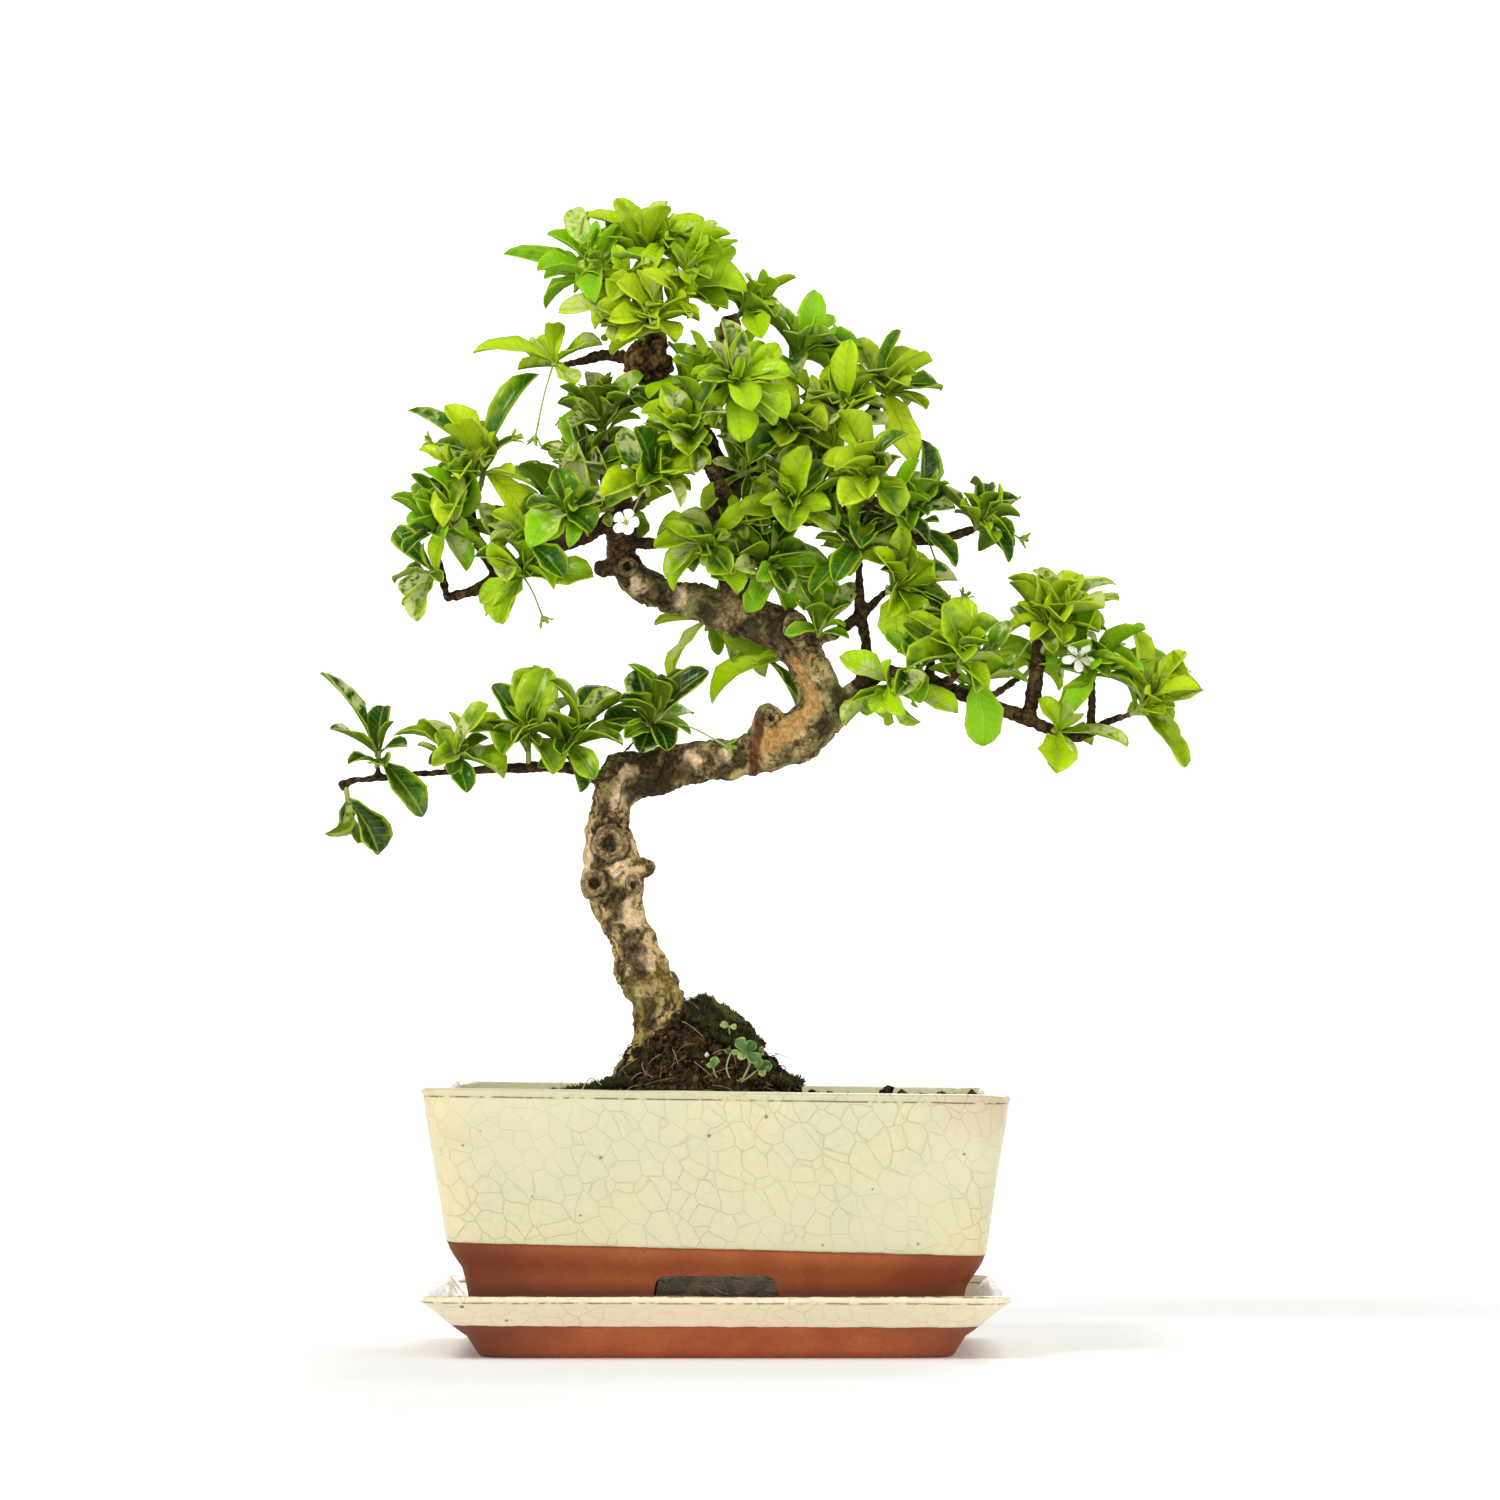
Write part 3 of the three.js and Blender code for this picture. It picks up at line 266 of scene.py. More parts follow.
# %% Finished pieces and the studio floor
def finished(shape, name, *finishes, smooth=True):
    """Turns a bmesh into an object in the scene, at the origin and unturned."""
    mesh = bpy.data.meshes.new(name)
    shape.to_mesh(mesh)
    shape.free()
    made = bpy.data.objects.new(name, mesh)
    scene.collection.objects.link(made)
    for finish in finishes:
        mesh.materials.append(finish.material)
    if smooth:
        mesh.shade_smooth()
    return made


def spun(shape, profile, turns):
    """Spins a profile of radius and height once round the Z axis."""
    spots = [shape.verts.new((radius, 0, height)) for radius, height in profile]
    sides = [shape.edges.new(pair) for pair in zip(spots, spots[1:])]
    bmesh.ops.spin(
        shape, geom=spots + sides, cent=(0, 0, 0), axis=(0, 0, 1),
        angle=2 * math.pi, steps=turns, use_merge=True,
    )
    bmesh.ops.remove_doubles(shape, verts=shape.verts, dist=1e-6)
    bmesh.ops.recalc_face_normals(shape, faces=shape.faces)
    return shape


paper = Finish("studio_paper", Roughness=0.9, Emission_Strength=0.5)
paper.colour(paper.mix(paper.clouds(0.6), tint("#FBFAF7"), tint("#FFFFFF")))
out = paper.node("ShaderNodeVectorMath", {"operation": "LENGTH"}, {0: paper.straight}, output="Value")
far_glow = paper.mix(out.step(0.3, 1.8), tint("#000000"), tint("#FFFFFF"))
paper.feed(paper.skin.inputs["Emission Color"], far_glow)
FLOOR_PROFILE = [(0, 0), (1, 0), (2.6, 0), (3.2, 0.05), (3.7, 0.25), (3.95, 0.6), (4.05, 1.1), (4.05, 1.7)]
studio = finished(spun(bmesh.new(), FLOOR_PROFILE, 72), "studio_floor", paper)
print("floor and wall reach", FLOOR_PROFILE[-1][0], "m out")

# %% [markdown]
# The pot and the saucer are both rounded rectangles that change size with height. Each starts as one
# flat face for the inner floor. Its corners are bevelled, and then its rim is extruded up the inside,
# over the lip and down the outside, one height at a time, so wall, lip and foot are one skin. A lathe
# can't make a rectangular pot, and a plain box would have neither the lip nor the soft corners.


# %% A rounded tray from its profile
# Longer edges than this, in millimetres, are the straight sides and not the corners
LONG_EDGE = 50


def tray(profile, depth_less, corner, along=26, across=20):
    """A skin of rounded rectangles. The profile has heights and half lengths, in millimetres."""
    shape = bmesh.new()
    height, half = profile[0]
    spots = bmesh.ops.create_grid(shape, x_segments=1, y_segments=1, size=1)["verts"]
    for spot in spots:
        spot.co = Vector((spot.co.x * half, spot.co.y * (half - depth_less), height)) * MM
    bmesh.ops.bevel(
        shape, geom=spots, offset=corner * MM, segments=8, profile=0.5, affect="VERTICES", material=-1
    )
    for way, cuts in ((0, along), (1, across)):
        long = [e for e in shape.edges if abs(e.verts[0].co[way] - e.verts[1].co[way]) > LONG_EDGE * MM]
        bmesh.ops.subdivide_edges(shape, edges=long, cuts=cuts)
    rim = [e for e in shape.edges if e.is_boundary]
    for (_, before), (level, after) in zip(profile, profile[1:]):
        made = bmesh.ops.extrude_edge_only(shape, edges=rim)["geom"]
        rim = [part for part in made if isinstance(part, bmesh.types.BMEdge)]
        reach = Vector((before - corner, before - depth_less - corner)) * MM
        for spot in (part for part in made if isinstance(part, bmesh.types.BMVert)):
            for way in (0, 1):
                share = max(-1, min(1, spot.co[way] / reach[way]))
                spot.co[way] += share * (after - before) * MM
            spot.co.z = level * MM
    bmesh.ops.edgeloop_fill(shape, edges=rim)
    bmesh.ops.recalc_face_normals(shape, faces=shape.faces)
    return shape


def cut(piece, *shapes):
    """Cuts closed shapes out of a piece."""
    for shape in shapes:
        cutter = finished(shape, "cutter")
        carve = piece.modifiers.new("carve", "BOOLEAN")
        carve.operation = "DIFFERENCE"
        carve.solver = "EXACT"
        carve.object = cutter
        settle(piece)
        bpy.data.objects.remove(cutter)
    return piece


def settle(piece):
    """Makes a piece's modifiers part of its mesh."""
    ready = piece.evaluated_get(bpy.context.evaluated_depsgraph_get())
    mesh = bpy.data.meshes.new_from_object(ready)
    piece.modifiers.clear()
    piece.data = mesh
    return piece


def dressed(piece, node):
    """Hides the CAD node that the piece stands for, attaches the piece to what it moves with and prints its
    triangles.
    """
    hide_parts(*([node] if isinstance(node, str) else node))
    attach(piece, "root")
    print(piece.name, "has", sum(len(face.vertices) - 2 for face in piece.data.polygons), "triangles")
    return piece


# %% [markdown]
# The pot was made by hand, and it shows: the lip and the glaze's lower edge both run downhill to the
# right. The glaze ends in a low thick roll above a band of bare clay. Two arches under the front and the
# back let water and air through.

# %% The pot
POT_DEPTH_LESS = 28
SAUCER_DEPTH_LESS = 26.2
POT_SKIN = [
    (34, 85.1), (52, 88), (70, 90.8), (86, 93.2), (88.8, 93.9), (90.2, 94.8), (90.6, 96.2), (90.6, 98.3),
    (90.3, 99.4), (89.6, 99.9), (88.6, 99.7), (88, 99.3), (86.5, 99.2), (78, 98), (68, 96.4), (58, 94.8),
    (48, 93.3), (41, 92.3), (38.2, 91.95), (37.3, 91.7), (36.8, 91.2), (36.2, 91), (34.6, 90.4),
    (32.7, 89.4), (30.4, 87.9), (28.2, 86.5), (26, 85.7), (23.5, 85), (16, 83.8), (10.1, 82.8), (9.5, 82.4),
    (9.3, 81.6), (9.3, 75), (9.8, 74.2), (28, 74),
]
GLAZE_END = 37.2
GLAZE_SLANT = 0.0255
# The arch under the pot, from front to back, and the drain holes in its floor
ARCH_TOP_WIDTH, ARCH_FOOT_WIDTH = 40, 48
ARCH_TOP, ARCH_START, ARCH_THROUGH = 28, 6, 180
DRAIN_PLACES = (-45, 45)
DRAIN_RADIUS = 8


def slanted(spot):
    """How far a point of the pot's skin lies off the level, to the right and the left of the middle."""
    z = spot.z / MM
    at_rim = 0.0125 * max(0, min(1, (z - 45) / 30))
    at_glaze = GLAZE_SLANT * max(0, min(1, (z - 22) / 6, (75 - z) / 30))
    waves = 0.15 * MM * noise.noise(spot * 45)
    return -spot.x * max(at_rim, at_glaze) + waves


def arch():
    """The trapezoid under the pot, pushed through from front to back."""
    shape = bmesh.new()
    spots = bmesh.ops.create_cube(shape, size=1)["verts"]
    for spot in spots:
        width, height = (ARCH_TOP_WIDTH, ARCH_TOP) if spot.co.z > 0 else (ARCH_FOOT_WIDTH, ARCH_START)
        spot.co = Vector((spot.co.x * width, spot.co.y * ARCH_THROUGH, height)) * MM
    top = [e for e in shape.edges if all(v.co.z > 0.02 for v in e.verts) and e.calc_length() > 0.1]
    bmesh.ops.bevel(
        shape, geom=top, offset=3 * MM, segments=5, profile=0.5, affect="EDGES", material=-1
    )
    return shape


def drain(x):
    """A plug the size of a drain hole."""
    shape = bmesh.new()
    bmesh.ops.create_cone(
        shape, cap_ends=True, segments=28, depth=0.02,
        radius1=DRAIN_RADIUS * MM, radius2=DRAIN_RADIUS * MM,
        matrix=Matrix.Translation((x * MM, 0, 0.031)),
    )
    return shape


pot_shape = tray(POT_SKIN, POT_DEPTH_LESS, 10)
for spot in pot_shape.verts:
    if spot.co.z > 0.02 and (abs(spot.co.x) > 0.0845 or abs(spot.co.y) > 0.0565):
        spot.co.z += slanted(spot.co)


# %% [markdown]
# Crackle glaze is a pale glass whose fine cracks have taken up dust. The cracks run in two sizes, so two
# webs of cell borders are drawn, a wide one that is strong and a narrow one that is faint. Cell borders
# that are pushed about by noise look grown. Bare clay shows below the glaze's edge, along its lip as a
# thin brown line, and in a few pinholes.


# %% Crackle glaze over clay
# Pinholes in the front of the pot: x, y, z
PINHOLES = [
    (x, -66.9 - 0.16 * (z - 58), z)
    for x, z in (
        (-79.4, 77.2), (-85.3, 72.3), (-38.8, 68.2), (-45.7, 48.6), (-2.3, 75.6), (88.6, 63.9), (92.4, 61.7),
        (92.7, 48.2), (83.7, 69.4), (68.3, 39), (52.8, 57.5), (36, 38.6), (17, 82), (-62, 55),
    )
]


def glazed(name, ends, slant, lips, foot_shade_height, tones):
    """Glaze above a height, clay below it, and brown lines at the heights of the lips."""
    plain, cool, warm = (tint(code) for code in tones)
    made = Finish(name, Coat_Roughness=0.08, IOR=1.52)
    height = made.axis("Z") * 1000
    right = made.axis("X") * 1000
    fine = made.clouds(900, 3)
    edge = ends - slant * right + 0.9 * made.clouds(160, 2) - 0.45
    glaze = (height - edge).step(-0.12, 0.12)

    tall = {"Vector": made.shifted(60, 0.007), "Rotation": (0.25, -0.35, 0.2), "Scale": (1, 1, 0.55)}
    tall = made.node("ShaderNodeMapping", {}, tall)
    wide_web = made.cells(150, "DISTANCE_TO_EDGE", tall).step(0.03, 0.008)
    near_web = made.cells(230, "DISTANCE_TO_EDGE", made.shifted(80, 0.004)).step(0.04, 0.01)
    fading = made.clouds(26, 2).step(0.4, 0.62)
    cracks = wide_web * (0.5 + 0.5 * fading) + near_web * 0.4 * fading

    body = made.mix(made.clouds(14, 3).step(0.35, 0.7), plain, cool)
    body = made.mix(made.clouds(30, 4).step(0.45, 0.75) * 0.5, body, warm)
    # Painted warm light on the left end of the glaze
    body = made.mix(right.step(-74, -104) * 0.6, body, warm)
    stain = abs(right).step(60, 100) * height.step(66, 88) * made.clouds(40, 4).step(0.36, 0.56)
    body = made.mix(stain * 0.6, body, tint("#BFA088"))
    body = made.mix(cracks * 0.3, body, tint("#8A8869"))
    holes = made.cells(75).step(0.075, 0.045) * made.clouds(33, 1).step(0.52, 0.6)
    for i, spot in enumerate(PINHOLES if ends > 20 else ()):
        holes = holes.most(made.apart(spot).step(0.55 + 0.14 * (i * 7 % 5), 0.1))
    body = made.mix(holes * 0.85, body, tint("#4A3B2C"))
    for lip, strength in lips:
        near = abs(height - lip + slant * 0.5 * right + 0.5 * (made.clouds(70, 3) - 0.5)).step(0.42, 0.12)
        broken = made.clouds(210, 4).step(0.38, 0.55)
        body = made.mix(near * broken * strength, body, tint("#6E4A30"))

    clay = made.mix(made.clouds(60, 5).step(0.3, 0.7), tint("#A34E27"), tint("#B4602F"))
    clay = made.mix(fine.step(0.5, 0.75) * 0.4, clay, tint("#7A3A1A"))
    # Painted shade on the clay towards both ends, where it turns away
    clay = made.mix(right.step(-38, -84) * 0.8 + right.step(48, 92) * 0.7, clay, tint("#662B0B"))
    # Painted shade on the clay of the foot, below the given height
    clay = made.mix(height.step(foot_shade_height, foot_shade_height - 6) * 0.75, clay, tint("#5E2B10"))
    clay = made.mix((height - edge).step(-1.1, -0.1) * 0.4, clay, tint("#8A4424"))
    # Inside the saucer under the pot, a near black for silt and for painted shade
    inside = (abs(made.axis("Y")) * 1000 - 0.944 * height).step(52.7, 52.3) * height.step(8.8, 9)
    silt_and_painted_shade = inside * abs(right).step(84, 72) * (0.85 + 0.15 * made.clouds(150, 4).step(0.42, 0.56))
    body = made.mix(silt_and_painted_shade * (0.93 if ends < 20 else 0), body, tint("#1C1910"))
    made.colour(made.mix(glaze, clay, body))
    made.rough(0.62 - 0.4 * glaze + 0.12 * fine * (1 - glaze) + 0.2 * cracks * glaze)
    made.feed(made.skin.inputs["Coat Weight"], glaze * 0.55)
    relief = glaze * (0.6 + 0.12 * made.clouds(35, 2) - 0.35 * cracks - 0.5 * holes)
    made.bump(relief + (1 - glaze) * 0.22 * made.clouds(1400, 3), 0.3 * MM)
    return made


pot_glaze = glazed(
    "pot_glaze", GLAZE_END, GLAZE_SLANT, [(87.7, 0.9)], 27.5, ("#DAD1A7", "#CECCA5", "#E2D29C")
)
pot = finished(pot_shape, "pot_glazed", pot_glaze)
cut(pot, arch(), *(drain(x) for x in DRAIN_PLACES))
pot.data.set_sharp_from_angle(angle=math.radians(40))
dressed(pot, "pot")

# %% [markdown]
# The saucer is the same kind of skin, only low and flared. Its rim is a little wavy, as a slab of clay
# dries. The glaze stops above its foot.

# %% The saucer
SAUCER_SKIN = [
    (9, 84), (9.2, 85.3), (10, 86.6), (11, 87.6), (14.6, 91), (18.2, 94.6), (20, 96), (21.2, 96.9),
    (21.8, 97.9), (21.85, 98.8), (21.3, 99.6), (20.3, 100.1), (19.5, 99.7), (18.9, 98.9), (18.2, 98),
    (14, 93.1), (12.2, 91.2), (11.5, 90.5), (11.1, 89.9), (10.5, 89.2), (10.3, 88.9), (8.6, 86.9),
    (7.2, 85), (3.6, 82.8), (0.9, 81.2), (0.25, 80.6), (0, 79.8),
]
saucer_shape = tray(SAUCER_SKIN, SAUCER_DEPTH_LESS, 11)
for spot in saucer_shape.verts:
    if spot.co.z > 0.0105:
        share = (spot.co.z - 0.0105) / 0.0115
        spot.co.z += share * 0.35 * MM * noise.noise(Vector((spot.co.x, spot.co.y, 0)) * 30)
# The brown line at 19.4 mm, under the saucer's rim, is painted shade
saucer_glaze = glazed(
    "saucer_glaze", 11.1, 0.004, [(19.4, 0.8), (21.7, 0.75)], 2, ("#F0E3BE", "#E8DFBC", "#F6E6C4")
)
saucer = finished(saucer_shape, "saucer_glazed", saucer_glaze)
saucer.data.set_sharp_from_angle(angle=math.radians(40))
dressed(saucer, "saucer")

# %% [markdown]
# The trunk, its branches and every knot grew as one piece, so they are one mesh. A copy of the CAD wood
# is rebuilt from small even squares, which blends the joints of the branches, and then its surface is
# pushed in and out: broad lumps, corky plates with cracks between them, and rings of callus where
# branches were cut off. Ridges that only a material drew would vanish at the edge of the trunk, where
# the eye looks for them first.


# %% Copies that are rebuilt from even squares
def copied(node, name):
    """A new object with a merged copy of a CAD node's mesh."""
    shape = bmesh.new()
    shape.from_mesh(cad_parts[node].data)
    bmesh.ops.remove_doubles(shape, verts=shape.verts, dist=1e-6)
    return finished(shape, name)


def evened(piece, side, rounds):
    """Rebuilds a piece from squares of one side length and smooths it."""
    remesh = piece.modifiers.new("evened", "REMESH")
    remesh.mode = "VOXEL"
    remesh.voxel_size = side
    settle(piece)
    shape = bmesh.new()
    shape.from_mesh(piece.data)
    for _ in range(rounds):
        bmesh.ops.smooth_vert(
            shape, verts=shape.verts, factor=0.5, use_axis_x=True, use_axis_y=True, use_axis_z=True
        )
    shape.to_mesh(piece.data)
    shape.free()
    piece.data.shade_smooth()
    return piece


def eased(value, low, high):
    """0 at low, 1 at high, and smooth between."""
    share = max(0, min(1, (value - low) / (high - low)))
    return share * share * (3 - 2 * share)


def marked(piece, **marks):
    """Stores numbers at the points of a mesh, for its material to read."""
    for name, values in marks.items():
        piece.data.attributes.new(name, "FLOAT", "POINT").data.foreach_set("value", values)
    return piece


# %% [markdown]
# The old wood of the trunk is pale and the young wood of the branches nearly black. So each point of the
# mesh looks up the nearest place on the trunk's own line, which also says how thick the wood is there.

# %% The trunk's line: x, y, z, diameter and how pale the bark is
TRUNK_LINE = [
    (-24, 0, 74, 42, 0.5), (-23, 0, 91, 33, 0.6), (-19, 0, 103, 20.5, 0.7), (-20.5, 0, 121, 18, 0.75),
    (-27, 1, 134, 18.5, 0.7), (-31, 2, 146, 15.5, 0.85), (-34, 3, 154, 18.5, 0.75), (-36, 3, 161, 22, 0.8),
    (-37, 4, 173, 19, 0.75), (-38.5, 5, 181, 15.7, 0.8), (-37.5, 6, 191, 15.7, 0.65), (-33, 7, 199, 19, 0.35),
    (-22, 7, 201.5, 17.5, 0.15), (-9, 5, 203.5, 14.2, 0.45), (4.5, 2, 205, 14.8, 0.5),
    (17, -1, 210, 17, 0.55), (29, -4, 214, 19.2, 0.55), (37, -6, 221.5, 18.5, 0.5),
    (35, -7, 231.5, 14.4, 0.5), (31, -6, 242, 15.7, 0.35), (25.5, -4, 249, 17.5, 0.3),
    (15, -1, 253.5, 15.7, 0.3), (3, 2, 257, 14, 0.45), (-9.5, 4, 261, 11.8, 0.5), (-22, 4, 265, 11.9, 0.4),
    (-30.5, 2, 270, 12.2, 0.25), (-33.5, 0, 277, 11.2, 0.15), (-34, -2, 284, 9.8, 0.1),
    (-35, -3, 296, 7, 0.05), (-38.5, -4, 306.5, 6.3, 0.05), (-39, -4, 316, 5.4, 0.05),
]
LEADER_LINE = [
    (10, 0, 257, 14, 0.3), (6, 1, 270, 12.6, 0.2), (1.7, 3, 279, 12.6, 0.1), (0.3, 5, 289, 12, 0.1),
    (2.7, 4, 303, 9.2, 0.05), (-6, 1, 320.5, 7.6, 0.05), (-21.5, -2, 336, 8.7, 0.05),
    (-25, -2, 347, 13, 0.25), (-27, 0, 376, 3, 0.05),
]


def between_points(line, steps=6):
    """Extra points on a line, so that the nearest one is near enough."""
    for first, second in zip(line, line[1:]):
        for step in range(steps):
            yield [a + (b - a) * step / steps for a, b in zip(first, second)]


old_wood = [*between_points(TRUNK_LINE), *between_points(LEADER_LINE)]
wood_tree = kdtree.KDTree(len(old_wood))
for number, spot in enumerate(old_wood):
    wood_tree.insert(Vector(spot[:3]) * MM, number)
wood_tree.balance()
print("points on the old wood:", len(old_wood))

# %% [markdown]
# Scars come next. Where a branch was sawn off, the tree rolled rings of callus round the wound and the
# middle rotted to a hollow. The hollow is painted dark, for its rot and as painted shade, and the grooves
# round the rings get painted shade. Each scar has a place, a radius and a depth. Patches without bark,
# dark stains and small bumps are marked the same way, for the mesh and its material to use.

# %% Scars, peeled patches, stains and bumps
# x, y, z, radius of the outer ring and depth of the hollow
SCARS = [
    (-37.5, -5.8, 176, 6.6, 1.9), (-42.5, -5.4, 162, 4.7, 1.8), (-29.2, -6.6, 161.4, 3.1, 1.6),
    (27.4, -14.8, 251, 4.6, 1.6), (-31.5, -4.5, 272.5, 3.4, 1.2),
    (19, -9.5, 219.5, 2.8, 0.8), (-36, -7, 316, 2.2, 0.5), (-17, 9, 128, 3.8, 1), (36, 3, 224, 4.6, 1.3),
    (-40, 13, 170, 4.2, 1.2), (6, 9.5, 206, 3.6, 1), (-37, -2.5, 184, 2.6, 0.7),
]
# x, y, z and reach of each
PEELED = [
    (26.5, -11, 238, 3.2), (28.5, -11.5, 234, 3.6), (31, -13, 229, 3.8), (32.5, -13.6, 224, 3.6),
    (29, -13, 219.5, 4), (24, -11.4, 215.6, 4.5), (19.5, -9.5, 212, 4.3), (16, -8, 209.6, 3.4),
    (33, -12.5, 240, 2),
]
PALE_SPOTS = [
    (-33, -6.5, 167, 3.6), (-27, -5, 160.5, 3.4), (-29.5, -6, 149.5, 4.8), (-27.5, -5.6, 153.5, 3),
    (-21.5, -8, 135, 3.6), (-45, -1, 174, 3.4), (-45.5, -1, 168, 2.6),
    (-30.5, -2, 199.5, 3.4), (-33.5, -3, 191, 4), (-38.5, -6, 134, 2),
    (-9, -2, 206, 3.4), (2, -5, 206.5, 3), (-28, -2, 266, 3), (-14, -2, 263, 3.6),
]
STAINS = [
    (-35, -7, 154.5, 4.6), (-41.4, -5, 169, 2.8), (-39.7, -3, 187, 3.2), (-42.5, -2, 183, 2),
    (-28, -5.4, 155.5, 1.8), (-23.6, -2, 193.7, 6.4), (-30, -7, 139.5, 4.8), (-26, -6.5, 131, 3.4),
    (-24, -8.6, 117, 4.4),
    (-20, -9, 105, 4), (-27, -1, 194, 6), (-20, -2, 197, 6.6), (-12, -2, 199.5, 5), (-25, -1.5, 205, 5.4),
    (2, -5, 201, 4), (8, -5, 207, 3.2), (38, -14, 215, 4.6), (42, -9, 224, 4.4), (21, -11, 250, 5),
    (30, -8, 244, 4.2), (12, -6, 249, 4.4), (-4, -3, 256, 3.8), (-18, -1, 260, 4.2), (-40, -4, 170, 2.6),
    (-20, 8, 112, 5), (-28, 9, 138, 5), (-30, 12, 160, 5), (0, 9, 208, 5), (24, 6, 216, 6), (18, 7, 255, 5),
]
BUMPS = [
    (-27.5, -5, 173, 1.5, 0.8), (-46.5, -1, 158.5, 3, 1.2),
    (-23.6, -4, 156, 2.4, 1), (43.5, -10, 228, 2.4, 1.3), (15.5, -2, 218, 2.4, 1), (-7, -1, 211, 2, 1),
    (-16, -8, 121, 2.2, 1), (-30, -8, 134, 2, 0.9), (33, -14, 210, 2.6, 1.2), (-2, -5, 202, 1.8, 0.9),
    (-12, 3, 267, 2, 1), (9, -7, 252, 2.2, 1), (-40, -5, 190, 1.8, 1), (46, -7, 220, 2.2, 1),
]
# x, y, z and reach of each burr, and how far the whole of it stands out
BURRS = [(-25, -2, 346, 12, 0), (5.6, 4, 357, 7, 1.6)]
BAND_X = 13.2


def surface_of(piece):
    """A search tree that finds the nearest place on a piece."""
    shape = bmesh.new()
    shape.from_mesh(piece.data)
    tree = bvhtree.BVHTree.FromBMesh(shape)
    shape.free()
    return tree


def nearest(here, spots):
    """The smallest distance to any spot, as a share of its reach. Spots are taller than wide."""
    gaps = ((here - Vector(spot[:3]), spot[3]) for spot in spots)
    return min(Vector((gap.x, gap.y, gap.z * 0.75)).length / reach for gap, reach in gaps)


def scar_push(far, depth):
    """Two rings of callus with grooves round them, about a hollow, and how dark it is there: rot and painted
    shade in the hollow, and painted shade in the grooves.
    """
    outer = math.exp(-(((far - 0.88) / 0.15) ** 2))
    inner = math.exp(-(((far - 0.62) / 0.09) ** 2))
    grooves = math.exp(-(((far - 0.75) / 0.05) ** 2)), math.exp(-(((far - 1.08) / 0.1) ** 2))
    hollow = 1 - eased(far, 0.42, 0.56)
    push = 1.3 * outer + 0.8 * inner - 0.5 * grooves[0] - 0.7 * grooves[1] - depth * hollow
    return push, max(hollow, 0.65 * grooves[0], grooves[1])


def plates(spot, scale):
    """Corky plates: 1 in the middle of a plate and 0 in the cracks round it."""
    bent = spot + 0.005 * noise.noise_vector(spot * 120)
    first, second = noise.voronoi(bent * scale)[0][:2]
    smooth = eased(noise.noise(spot * 70 + Vector((5, 1, 3))), -0.1, 0.25)
    return max(eased(second - first, 0, 0.26), smooth)


def bark_push(spot):
    """How far the bark stands out at a point, in millimetres, and what the material has to know there."""
    _, number, apart = wood_tree.find(spot)
    thick, pale = old_wood[number][3], old_wood[number][4]
    stout = 1 - eased(apart / MM, 0.62 * thick, 0.95 * thick + 1)
    swell = 0.3 + 0.7 * stout
    lumps = noise.noise(spot * 75) * 1.5 + noise.noise(spot * 190) * 1.25
    cork = plates(spot, 165)
    push = swell * (lumps + 0.75 * (cork - 0.6)) + 0.4 * noise.noise(spot * 620)
    hollow = peel = stain = bare = healed = 0
    here = spot / MM
    if stout > 0.1:
        for middle, radius, depth in seated_scars:
            far = (here - middle).length / radius
            if far < 1.7:
                far *= 1 + 0.14 * noise.noise(spot * 260)
                ring, dark = scar_push(far, depth)
                push = push * (0.3 + 0.7 * eased(far, 0.9, 1.6)) + ring
                # A scar's darkness is rot and painted shade in its hollow, and painted shade in its grooves
                hollow = max(hollow, dark)
                cork = max(cork, 1 - eased(far, 1, 1.5))
                healed = max(healed, 1 - eased(far, 0.98, 1.12))
        peel = 1 - eased(nearest(here, PEELED) + 0.4 * noise.noise(spot * 330), 0.75, 1)
        ragged = 0.9 * noise.noise(spot * 170) + 0.35 * noise.noise(spot * 520)
        bare = 1 - eased(nearest(here, PALE_SPOTS) + ragged, 0.85, 1.1)
        stain = 1 - eased(nearest(here, STAINS) + 0.7 * noise.noise(spot * 210), 0.6, 1.25)
        for x, y, z, reach, high in BUMPS:
            far = (here - Vector((x, y, z))).length / reach
            push += high * math.exp(-far * far)
        push = push * (1 - 0.6 * max(peel, bare)) - 0.5 * peel * stout
        band = math.exp(-(((here.x - BAND_X - 0.12 * (here.z - 206)) / 1.7) ** 2))
        push += 0.7 * band * (1 - eased(abs(here.z - 208), 9, 14))
    burr = 1 - eased(nearest(here, BURRS), 0.5, 1)
    if burr > 0:
        ridge = noise.noise(Vector((spot.x * 620, spot.y * 620, spot.z * 120)))
        swelling = min(((here - Vector(at)).length, swell) for *at, _, swell in BURRS)[1]
        push += burr * (swelling + 2.8 * ridge)
        cork = min(cork, 1 - burr * (1 - eased(ridge, -0.3, 0.1)))
        peel = max(peel, 0.75 * burr * eased(ridge, -0.05, 0.3))
    root = 1 - eased(here.z, 96, 114)
    push += root * 1.6 * noise.noise(Vector((spot.x * 260, spot.y * 260, spot.z * 50)))
    return push, (cork, hollow, peel, stain, bare, healed, pale * stout + 0.03 * (1 - stout))


BARK_SQUARE = 0.72
wood = evened(copied("tree", "tree_wood"), BARK_SQUARE * MM, 3)
# A scar's middle has to lie on the bark itself, or its hollow would miss the surface
wood_surface = surface_of(wood)
seated_scars = []
for x, y, z, radius, depth in SCARS:
    outside = Vector((x, math.copysign(60, y), z))
    met = wood_surface.ray_cast(outside * MM, Vector((0, -math.copysign(1, y), 0)))[0]
    seated_scars.append((met / MM if met else Vector((x, y, z)), radius, depth))
print("scars set on the bark:", len(seated_scars))
MARKED = ("cork", "hollow", "peeled", "stain", "bare", "healed", "paleness")
marks = {name: [] for name in MARKED}
moved = []
for point in wood.data.vertices:
    push, values = bark_push(point.co)
    moved.extend(point.co + point.normal * (push + 0.15) * MM)
    for row, value in zip(marks.values(), values):
        row.append(value)
wood.data.vertices.foreach_set("co", moved)
marked(wood, **marks)
wood.data.update()
